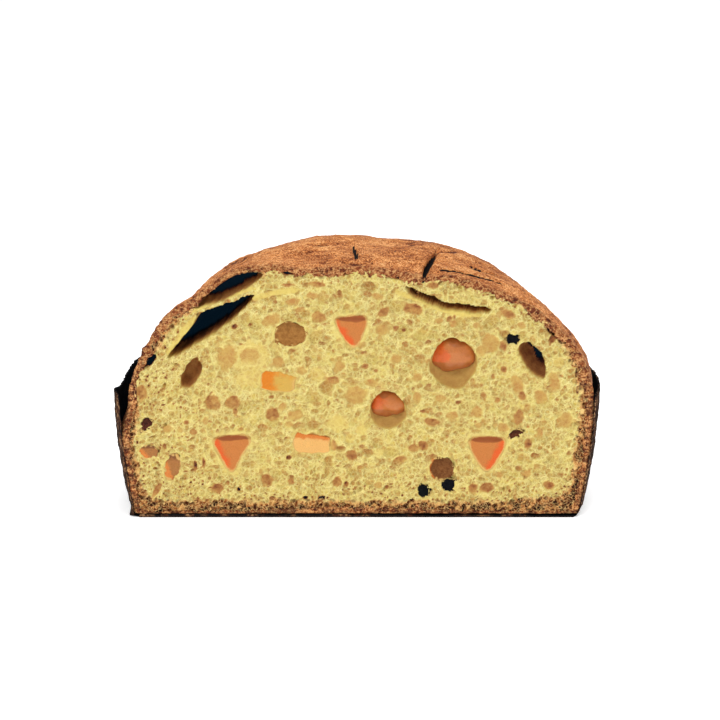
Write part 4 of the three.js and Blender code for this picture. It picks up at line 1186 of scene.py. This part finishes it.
def make_crust():
    """The crust: rays from the hub to the turned, swollen loaf, roughened, and closed by an inner skin."""
    turn = rim_turns(CRUST_COLUMNS)
    share = np.linspace(0, 1, CRUST_ROWS)
    tilts = np.concatenate([[0], np.pi / 2 * (1 - (1 - share[1:]) ** 1.45)])
    turns, tilt = np.meshgrid(turn, tilts)
    ray, reach = ray_to_crust(turns, tilt)
    places = HUB + ray * reach[..., None]
    spots = places.reshape(-1, 3)
    above = smooth(CASE_HEIGHT - 6, CASE_HEIGHT + 12, spots[:, 2])
    wrinkles = layered(spots * (0.7, 1.2, 1), 6, 71, 4, 0.62)
    creased = np.abs(layered(spots * (0.55, 1.15, 0.7), 9, 81, 3, 0.5))
    # Folds are pressed in, and painted darker in the crust's colour as shade.
    fold = (1 - smooth(0.0, 0.13, creased)) * smooth(-0.35, 0.2, cloud(spots, 24, 83)) * above
    relief = 0.85 * wrinkles - 0.7 * fold + 0.34 * layered(spots, 1.7, 85, 2, 0.7)
    sunk = np.zeros(len(spots))
    plan = spots[:, :2]
    for path, width, deep, crack_shadow_from in CRACKS:
        cut = groove(plan, path, width, deep)
        relief -= cut
        # From this share of the depth on, each crack is painted dark: a painted shadow.
        sunk = np.maximum(sunk, smooth(crack_shadow_from * deep, (crack_shadow_from + 0.3) * deep, cut))
    for path, width, deep in CREASES:
        pressed = groove(plan, path, width * 1.5, deep)
        relief -= pressed * above
        # The creases count as folds too, so painted shade darkens them.
        fold = np.maximum(fold, smooth(0.2, 1.0, pressed) * above)
    relief *= np.maximum(above, 0.25)
    relief = relief.reshape(turns.shape)
    behind = places[..., 1] - CUT_Y
    lip_noise = layered(np.stack([turns * 100, turns * 0], -1), 3.4, 95, 5, 0.72)
    beside_case = (1 - above).reshape(turns.shape)
    relief = relief + (1.0 * lip_noise + 1.3 * beside_case) * np.exp(-behind / 1.2)
    outer = HUB + ray * (reach + relief)[..., None]
    outer[..., 1] += (0.45 + 0.9 * lip_noise) * np.exp(-behind / 1.4)

    thick = sizes().crust_thickness / MM
    ragged = layered(np.stack([turn * 100, turn * 0 + 7], -1), 2.4, 97, 4, 0.7)
    rows = []
    edge_reach = reach[-1]
    x, z = places[-1, :, 0], places[-1, :, 2]
    shoulders = smooth(-62, -78, x) * smooth(62, 76, z) + 0.8 * smooth(66, 84, x) * smooth(50, 66, z)
    crown = smooth(-52, -42, x) * smooth(38, 28, x) * smooth(90, 100, z)
    right = smooth(34, 44, x) * smooth(78, 66, x) * smooth(60, 90, z)
    swollen = 1 + 0.9 * shoulders + 0.75 * crown + 0.5 * right
    for inset, forward in ((0.35, -0.2), (0.9, -0.1), (0.55 * thick, 0.1), (0.85 * thick, 0.35)):
        ring = HUB + ray[-1] * (edge_reach - inset * swollen * (1 + 0.75 * ragged))[:, None]
        ring[:, 1] += 0.35 + forward + 0.8 * layered(ring[:, ::2], 2.6, 98 + int(inset * 10), 2)
        rows.append(ring)
    for tilt_degrees in INNER_SKIN_TILTS:
        inner_tilt = np.full(CRUST_COLUMNS, math.radians(tilt_degrees))
        inner_ray, inner_reach = ray_to_crust(turn, inner_tilt)
        under = thick + 0.4 + 1.3 * crack_depth(HUB + inner_ray * inner_reach[:, None], 1.8)
        rows.append(HUB + inner_ray * (inner_reach - under)[:, None])
    inner = np.stack(rows)
    grid = np.concatenate([outer, inner])
    grid[..., 2] = np.maximum(grid[..., 2], FOOT)
    faces = grid_faces(len(grid), CRUST_COLUMNS, True)
    flat = grid.reshape(-1, 3)
    low = 1 - smooth(CASE_HEIGHT - 4, CASE_HEIGHT + 34, flat[:, 2] + 6 * cloud(flat, 9, 99))
    extra = len(flat) - len(sunk)
    add_piece("crust", flat, faces, crust_material(), ["bread"], "bread",
              low=low,
              fold=np.concatenate([fold, np.zeros(extra)]),
              sunk=np.concatenate([sunk, np.zeros(extra)]),
              rim=np.clip(np.concatenate([np.exp(-behind.ravel() / 1.6), np.ones(extra)]), 0, 1))


# Fruit.

def add_fruit(name, grid, material, slot, **measures):
    """Adds a closed grid of points as the looks of one fruit node."""
    finish = "_wrinkled" if slot == "raisin" else "_glazed"
    faces = grid_faces(len(grid), grid.shape[1], True)
    add_piece(name + finish, grid.reshape(-1, 3), faces, material, [name], slot, **measures)


def peel_outline(x, z, length, height, slope, grow):
    """A rounded oblong, as a high-power oval, turned by its slope."""
    turn = np.linspace(0, 2 * np.pi, 61)[:-1]
    u = np.sign(np.cos(turn)) * np.abs(np.cos(turn)) ** 0.4 * (length / 2 + grow)
    w = np.sign(np.sin(turn)) * np.abs(np.sin(turn)) ** 0.4 * (height / 2 + grow)
    angle = math.radians(slope)
    return np.stack([x + u * math.cos(angle) - w * math.sin(angle),
                     z + u * math.sin(angle) + w * math.cos(angle)], -1)


def pillow(outline, front, back, roundness):
    """A body with rounded edges carried back from an outline, and each ring's width as a share.

    Each end is flat, of rings that grow from a point to a share of 1 - roundness, and then rounds over
    as a quarter of a circle does, out to the full outline.
    """
    middle = outline.mean(0)
    depth = back - front
    flat_rows = 14
    cap = np.stack([np.zeros(flat_rows), np.linspace(0, 1 - roundness, flat_rows)], -1)
    bend = np.linspace(0, np.pi / 2, 9)[1:]
    edge = np.stack([roundness * (1 - np.cos(bend)), 1 - roundness + roundness * np.sin(bend)], -1)
    edge[:, 0] *= np.linalg.norm(outline - middle, axis=1).min() / depth
    front_half = np.vstack([cap, edge])
    back_half = np.stack([1 - front_half[::-1, 0], front_half[::-1, 1]], -1)
    profile = np.vstack([front_half, back_half])
    rings = middle + (outline - middle) * profile[:, 1][:, None, None]
    y = np.broadcast_to((CUT_Y + front + depth * profile[:, 0])[:, None], rings.shape[:2])
    return np.stack([rings[..., 0], y, rings[..., 1]], -1), profile[:, 1]


def roughened(grid, amount, size, seed):
    """Moves each point along the line from the body's middle by soft lumps."""
    middle = grid.reshape(-1, 3).mean(0)
    out = grid - middle
    length = np.linalg.norm(out, axis=-1, keepdims=True) + 1e-9
    return grid + out / length * (amount * layered(grid, size, seed, 3)[..., None])


def make_wedges():
    """Wedges with a granular cut face whose top slants back under the dough."""
    for number, (name, (outline, bright_side)) in enumerate(WEDGES.items()):
        hole = smooth_curve(outline, 96, True)
        middle = hole.mean(0)
        reach = np.linalg.norm(hole - middle, axis=1).max()
        grid, share = pillow(hole, WEDGE_RECESS - 0.15, WEDGE_DEPTH, 0.12)
        grid = roughened(grid, 0.2, 2.0, 110 + number)
        top = hole[:, 1].max() - WEDGE_HEADROOM
        front = smooth(WEDGE_DEPTH * 0.5, 1, grid[..., 1] - CUT_Y)
        grid[..., 1] += 0.8 * smooth(top - 0.6, top + 0.3, grid[..., 2]) * front
        spots = grid.reshape(-1, 3)
        angle = math.radians(bright_side)
        skin = ((spots[:, ::2] - middle) @ (math.cos(angle), math.sin(angle))) / reach
        skin = smooth(0.05, 0.6, skin + 0.1 * cloud(spots, 2.5, 120))
        across = np.abs(spots[:, 0] - middle[0]) / reach
        shaded = smooth(top - 1.9, top - 0.5, spots[:, 2] + 0.5 * cloud(spots, 3, 121) - 1.8 * across**2)
        blend = np.repeat(smooth(0.7, 0.95, share), grid.shape[1]) + 0.25 * cloud(spots, 1.8, 122)
        material = candied_material(name, tone(196, 120, 58), tone(220, 92, 34), tone(156, 84, 40), 0.03)
        add_fruit(name, grid, material, "candied_orange", skin=skin, shaded=shaded, blend=blend)


def make_peels():
    """Strips of peel: an orange skin side and pale pith."""
    for number, (name, (x, z, length, height, slope)) in enumerate(PEELS.items()):
        outline = peel_outline(x, z, length, height, slope, 0)
        outline = outline + 0.9 * np.stack([cloud(outline, 2.6, 136), cloud(outline, 2.6, 137)], -1)
        grid, share = pillow(outline, 0.3, PEEL_DEPTH, 0.14)
        grid = roughened(grid, 0.3, 2.2, 130 + number)
        spots = grid.reshape(-1, 3)
        rise = spots[:, 2] - z - (spots[:, 0] - x) * math.tan(math.radians(slope))
        top = smooth(height * 0.1, height * 0.42, rise + 0.8 * cloud(spots, 1.6, 140))
        left = smooth(length * 0.12, -length * 0.3, spots[:, 0] - x + 2 * cloud(spots, 2.4, 141))
        blend = np.repeat(smooth(0.84, 0.98, share), grid.shape[1])
        if number == 0:
            skin, pale, bright = np.maximum(left, 0.4 * top), tone(204, 164, 74), tone(214, 122, 20)
            blend = np.maximum(blend, 0.8 * smooth(length * 0.2, length * 0.5, spots[:, 0] - x))
        else:
            skin, pale, bright = top, tone(226, 174, 100), tone(208, 118, 46)
        material = candied_material(name, pale, bright, tone(190, 128, 66), 0.05)
        add_fruit(name, grid, material, "candied_peel",
                  skin=skin, shaded=np.zeros(len(spots)), blend=blend * (1 - 0.6 * top))


def knobbly(middle, radii, phase, rows=44, columns=72):
    """A knobbly round: a ball drawn to its radii, uneven by a twelfth."""
    u = np.linspace(0, np.pi, rows)[:, None]
    v = np.linspace(0, 2 * np.pi, columns + 1)[None, :-1]
    # The poles lie on the depth axis, so that the cut face is a round of rings.
    px, py, pz = np.sin(u) * np.cos(v), -np.cos(u) * np.ones_like(v), np.sin(u) * np.sin(v)
    uneven = 1 + 0.05 * np.sin(3.1 * px + 4 * pz + phase) + 0.035 * np.sin(5 * py - 4 * px + phase)
    ball = np.stack([px * radii[0], py * radii[1], pz * radii[2]], -1) * uneven[..., None]
    return ball + np.array([middle[0], CUT_Y + middle[1], middle[2]])


def make_lumps():
    """Lumps of candied orange that fill the upper part of their holes, glazed with syrup."""
    for number, (name, (middle, radii)) in enumerate(WHOLE_FRUIT.items()):
        grid = knobbly(middle, tuple(radius + 1.3 for radius in radii), number)
        grid = roughened(grid, 1.0, 4.5, 150 + number)
        spots = grid.reshape(-1, 3)
        up = (spots[:, 2] - middle[2]) / radii[2]
        side = (spots[:, 0] - middle[0]) / radii[0]
        material = candied_material(name, tone(190, 114, 58), tone(208, 96, 40), tone(170, 98, 50), 0.3)
        skin = smooth(-0.3, 0.7, 0.7 * cloud(spots, 5, 160) - side * 0.8)
        cap = 0.8 * smooth(0.45, 0.8, up + 0.25 * cloud(spots, 4, 161))
        add_fruit(name, grid, material, "candied_orange",
                  skin=skin, shaded=np.maximum(smooth(-0.2, -0.75, up), cap), blend=np.zeros(len(spots)))


RAISIN_TONES = {
    "raisin_upper": (tone(136, 90, 44), tone(166, 116, 60), 0.75),
    "raisin_lower": (tone(96, 56, 28), tone(130, 84, 48), 0.65),
    "raisin_dark_left": (tone(2, 4, 8), tone(10, 12, 16), 0.55),
    "raisin_dark_right": (tone(2, 4, 9), tone(10, 12, 18), 0.5),
    "raisin_by_long_hole": (tone(2, 3, 6), tone(12, 12, 16), 0.45),
    "raisin_by_right_wedge": (tone(50, 24, 16), tone(96, 52, 32), 0.6),
    "raisin_by_case": (tone(48, 22, 18), tone(96, 50, 36), 0.6),
}


# How far small fruit leans: x for each millimetre up, and z for each millimetre to the right.
LEANS = {
    "raisin_by_case": (0.5, 0.1), "raisin_by_right_wedge": (0.2, 0.35), "candied_bit_corner": (0.22, 0),
}


def make_sliced_fruit():
    """Raisins and candied bits that the knife has sliced, with a dished, uneven face."""
    for number, (name, (x, z, radii, recess)) in enumerate(SLICED_FRUIT.items()):
        grid = knobbly((x, recess, z), radii, number)
        small = max(radii) < 5
        grid = roughened(grid, 1.2 if small else 0.5, 1.7, 170 + number)
        lean_x, lean_z = LEANS.get(name, (0, 0))
        off_x, off_z = grid[..., 0] - x, grid[..., 2] - z
        grid[..., 0] += lean_x * off_z
        grid[..., 2] += lean_z * off_x
        face = CUT_Y + 0.72 + 0.35 * recess * (not small)
        dish = 0.4 * layered(grid[..., ::2], 1.6, 180 + number)
        grid[..., 1] = np.maximum(grid[..., 1], face + dish)
        spots = grid.reshape(-1, 3)
        off, up = (spots[:, 0] - x) / radii[0], (spots[:, 2] - z) / radii[2]
        q = np.hypot(off, up)
        blend = smooth(0.74, 1.04, q + 0.22 * cloud(spots, 1.2, 190 + number))
        if name.startswith("raisin"):
            glow = smooth(0.72, 1.0, q) * smooth(-0.2, -0.8, off) * (name == "raisin_lower")
            add_fruit(name, grid, raisin_material(name, *RAISIN_TONES[name]), "raisin",
                      skin=glow, shaded=0.35 * smooth(0.1, 0.9, up), blend=blend * 0.6)
        else:
            tones = tone(166, 110, 56), tone(214, 128, 58), tone(112, 66, 34)
            material = candied_material(name, *tones, 0.06)
            add_fruit(name, grid, material, "candied_orange",
                      skin=smooth(0.1, -0.9, off + 0.6 * up), shaded=0.7 * smooth(0.0, 0.9, up), blend=blend)


# The paper case.

def make_case():
    """A fluted sheet: the wall's radius waves with the azimuth, and its floor runs to the cut's edge."""
    half = PAPER / 2
    pitch = sizes().flute_pitch / MM

    def ends(radius):
        lean = np.arcsin(np.clip(CUT_AHEAD / radius, -1, 1))
        return -lean, np.pi + lean

    def ring(radius, height, share):
        first, last = ends(radius)
        azimuth = first + (last - first) * share
        apart = np.abs((np.degrees(azimuth) - SAG_AZIMUTH + 540) % 360 - 180) / SAG_SPREAD
        sag = np.exp(-apart * apart) * (np.maximum(height, 0) / CASE_HEIGHT) ** 4
        radius = radius - SAG_INWARDS * sag
        return np.stack([radius * np.cos(azimuth), AXIS_Y + radius * np.sin(azimuth),
                         height - SAG_DOWN * sag + 0 * share], -1)

    share = np.linspace(0, 1, CASE_COLUMNS)
    first, last = ends(CASE_RIM_RADIUS)
    flutes = round((last - first) * CASE_RIM_RADIUS / pitch)
    wave = np.sin(2 * np.pi * flutes * share + 0.6 * cloud(np.stack([share * 90, share * 0], -1), 3, 201))
    heights = np.concatenate([[0.5, 1.1], np.linspace(WALL_FOOT, CASE_HEIGHT, 26)])
    outer, inner = [], []
    torn = 0.8 * layered(np.stack([share * 400, share * 0], -1), 2, 205, 3) + 0.3 * wave
    crumple = smooth(0.984, 1, share) * (1 + cloud(np.stack([share * 400, share * 0], -1), 1.5, 209))
    foot_radius = CASE_BASE_RADIUS - WALL_FOOT
    foot = ring(foot_radius + 0 * share, 0.3, share)
    front = foot.copy()
    front[:, 1] = CUT_Y
    front[:, 0] = np.linspace(foot[0, 0], foot[-1, 0], CASE_COLUMNS)
    length = np.maximum(np.linalg.norm(foot - front, axis=1), 1e-3)
    curl = 0.55 + 0.5 * layered(front[:, :2], 9, 211, 4, 0.65)
    lip = [(0, reach) for reach in (-0.5, 0.1, 0.9)]
    floor = [(along, 0) for along in (0.05, 0.2, 0.4, 0.6, 0.8, 1)]
    for away, reach in lip + floor:
        along = np.clip(away + reach / length, -0.2, 1)
        line = front + (foot - front) * np.maximum(along, 0)[:, None]
        line[:, 1] += min(reach, 0)
        near_cut = np.exp(-max(reach, 0) / 0.5) * (away == 0)
        ripple = 0.28 * cloud(line[:, :2], 7, 207) * (1 if away < 0.9 else 0.3)
        low = line.copy()
        low[:, 2] = np.clip(0.34 + ripple - SHEET / 2 - near_cut, 0.02, None)
        high = line.copy()
        high[:, 2] = low[:, 2] + SHEET + 1.6 * near_cut * np.clip(curl, 0.15, 1.3)
        outer.append(low)
        inner.append(high)
    for height in heights:
        level = np.minimum(height + 0 * share, CASE_HEIGHT)
        level = level - (0.9 + torn) * (height == CASE_HEIGHT)
        spread = smooth(0, 6, height)
        if height > WALL_FOOT:
            middle_radius = case_radius(height) - half
        else:
            rounding = math.sqrt(max(0, 1 - (1 - height / WALL_FOOT) ** 2))
            middle_radius = CASE_BASE_RADIUS - WALL_FOOT + WALL_FOOT * rounding - half
        radius = middle_radius + (half - SHEET / 2 - 0.02) * wave * spread
        crimp = layered(np.stack([share * 330, height + 0 * share], -1), 2.4, 215, 3, 0.6)
        radius = radius + 0.8 * np.maximum(crimp, -0.1) * spread * (height < CASE_HEIGHT - 2)
        radius = radius + 2.2 * crumple * max(0, 1 - height / 7)
        outer.append(ring(radius + SHEET / 2, level, share))
        inner.append(ring(radius - SHEET / 2, level, share))
    outer, inner = np.stack(outer), np.stack(inner)
    shell = np.concatenate([outer, inner[::-1]])
    faces = [grid_faces(len(shell), CASE_COLUMNS, False)]
    rows = len(outer)
    # The last row of the outer side meets the first of the inner at the rim; the front edge closes here.
    top_row = np.arange(CASE_COLUMNS) + (len(shell) - 1) * CASE_COLUMNS
    bottom_row = np.arange(CASE_COLUMNS)
    faces.append(np.stack([top_row[:-1], top_row[1:], bottom_row[1:]], -1))
    faces.append(np.stack([top_row[:-1], bottom_row[1:], bottom_row[:-1]], -1))
    for side, flip in ((0, False), (CASE_COLUMNS - 1, True)):
        low = np.arange(rows) * CASE_COLUMNS + side
        high = (len(shell) - 1 - np.arange(rows)) * CASE_COLUMNS + side
        strip = np.vstack([np.stack([low[:-1], high[:-1], high[1:]], -1),
                           np.stack([low[:-1], high[1:], low[1:]], -1)])
        faces.append(strip[:, ::-1] if flip else strip)
    spots = shell.reshape(-1, 3)
    inside = np.concatenate([np.zeros(outer.size // 3), np.ones(inner.size // 3)])
    at_cut = np.exp(-np.maximum(spots[:, 1] - CUT_Y, 0) / 0.5)
    patches = smooth(-0.1, 0.4, layered(spots, 4, 213, 3))
    edge = at_cut * np.where(spots[:, 2] > 2.2, 0.7, 0.8 * smooth(0.9, 1.5, spots[:, 2])) * patches
    edge += 0.4 * patches * smooth(CASE_HEIGHT - 1, CASE_HEIGHT, spots[:, 2])
    crumbs = np.exp(-np.maximum(spots[:, 1] - CUT_Y, 0) / 7) * (1 - inside) * smooth(2, 5, spots[:, 2])
    edge = np.clip(edge + 0.6 * crumbs * smooth(-0.05, 0.3, layered(spots, 2.4, 217, 3)), 0, 1)
    add_piece("paper_case_fluted", spots, np.vstack(faces), paper_material(colours()), ["paper_case"],
              "paper", edge=edge, inside=inside)


# The stage.

def make_stage():
    """A pale floor, plain white light from all round, a soft lamp, and the photograph's camera."""
    scene = bpy.context.scene
    paint = Paint("pale floor", {"Emission Color": (1, 1, 1, 1), "Emission Strength": 0.42})
    floor_material = paint.finish(tone(252, 252, 252), 0.9)
    mesh = bpy.data.meshes.new("floor")
    reach = 12.0
    mesh.from_pydata([(-reach, -reach, 0), (reach, -reach, 0), (reach, reach, 0), (-reach, reach, 0)], [],
                     [(0, 1, 2, 3)])
    mesh.materials.append(floor_material)
    floor = bpy.data.objects.new("floor", mesh)
    scene.collection.objects.link(floor)

    world = bpy.data.worlds.new("white room")
    world.use_nodes = True
    world.node_tree.nodes["Background"].inputs["Color"].default_value = (1, 1, 1, 1)
    world.node_tree.nodes["Background"].inputs["Strength"].default_value = 0.55
    scene.world = world
    scene.view_settings.view_transform = "Standard"

    for name, place, size, power in (
        ("front lamp", (-0.45, -1.35, 1.5), 0.8, 11.0),
        ("top lamp", (0.2, -0.05, 1.7), 1.0, 15.0),
    ):
        light = bpy.data.lights.new(name, "AREA")
        light.size = size
        light.energy = power
        lamp = bpy.data.objects.new(name, light)
        lamp.location = place
        lamp.rotation_euler = (Vector((0, 0, 0.06)) - Vector(place)).to_track_quat("-Z", "Y").to_euler()
        scene.collection.objects.link(lamp)

    camera = bpy.data.cameras.new("camera")
    camera.sensor_width = SENSOR
    camera.lens = SENSOR * CAMERA_AWAY / (MM_PER_PIXEL * PHOTO_SIDE)
    camera.clip_start = 0.05
    camera.clip_end = 60
    seat = bpy.data.objects.new("camera", camera)
    target = Vector(LOOKED_AT) * MM
    away = Vector((0, -math.cos(CAMERA_ELEVATION), math.sin(CAMERA_ELEVATION))) * CAMERA_AWAY * MM
    seat.location = target + away
    seat.rotation_euler = (-away).to_track_quat("-Z", "Y").to_euler()
    scene.collection.objects.link(seat)
    scene.camera = seat


# The add-on's buttons.

class PANETTONE_OT_crumb(bpy.types.Operator):
    """Make the cut face with its crumb, air holes and pockets"""
    bl_idname = "panettone.crumb"
    bl_label = "Crumb"

    def execute(self, context):
        make_crumb()
        return {"FINISHED"}


class PANETTONE_OT_crust(bpy.types.Operator):
    """Make the browned, wrinkled crust"""
    bl_idname = "panettone.crust"
    bl_label = "Crust"

    def execute(self, context):
        make_crust()
        return {"FINISHED"}


class PANETTONE_OT_fruit(bpy.types.Operator):
    """Make the candied fruit and the raisins"""
    bl_idname = "panettone.fruit"
    bl_label = "Fruit"

    def execute(self, context):
        make_wedges()
        make_peels()
        make_lumps()
        make_sliced_fruit()
        return {"FINISHED"}


class PANETTONE_OT_case(bpy.types.Operator):
    """Make the fluted paper case"""
    bl_idname = "panettone.case"
    bl_label = "Paper Case"

    def execute(self, context):
        make_case()
        return {"FINISHED"}


class PANETTONE_OT_stage(bpy.types.Operator):
    """Make the floor, the light and the camera"""
    bl_idname = "panettone.stage"
    bl_label = "Stage"

    def execute(self, context):
        make_stage()
        return {"FINISHED"}


class PANETTONE_PT_panel(bpy.types.Panel):
    """Buttons and settings for the panettone"""
    bl_idname = "PANETTONE_PT_panel"
    bl_label = "Panettone"
    bl_space_type = "VIEW_3D"
    bl_region_type = "UI"
    bl_category = "Panettone"

    def draw(self, context):
        for group in (context.scene.panettone_sizes, context.scene.panettone_colours):
            for name in group.__annotations__:
                self.layout.prop(group, name)
        for operator in OPERATORS:
            self.layout.operator(operator.bl_idname)


OPERATORS = (
    PANETTONE_OT_crumb, PANETTONE_OT_crust, PANETTONE_OT_fruit, PANETTONE_OT_case, PANETTONE_OT_stage,
)
CLASSES = (PanettoneSizes, PanettoneColours) + OPERATORS + (PANETTONE_PT_panel,)


def register():
    for each in CLASSES:
        bpy.utils.register_class(each)
    bpy.types.Scene.panettone_sizes = PointerProperty(type=PanettoneSizes)
    bpy.types.Scene.panettone_colours = PointerProperty(type=PanettoneColours)


def unregister():
    del bpy.types.Scene.panettone_colours
    del bpy.types.Scene.panettone_sizes
    for each in reversed(CLASSES):
        bpy.utils.unregister_class(each)


def main():
    register()
    bpy.ops.panettone.crumb()
    bpy.ops.panettone.crust()
    bpy.ops.panettone.fruit()
    bpy.ops.panettone.case()
    bpy.ops.panettone.stage()


if __name__ == "__main__":
    main()
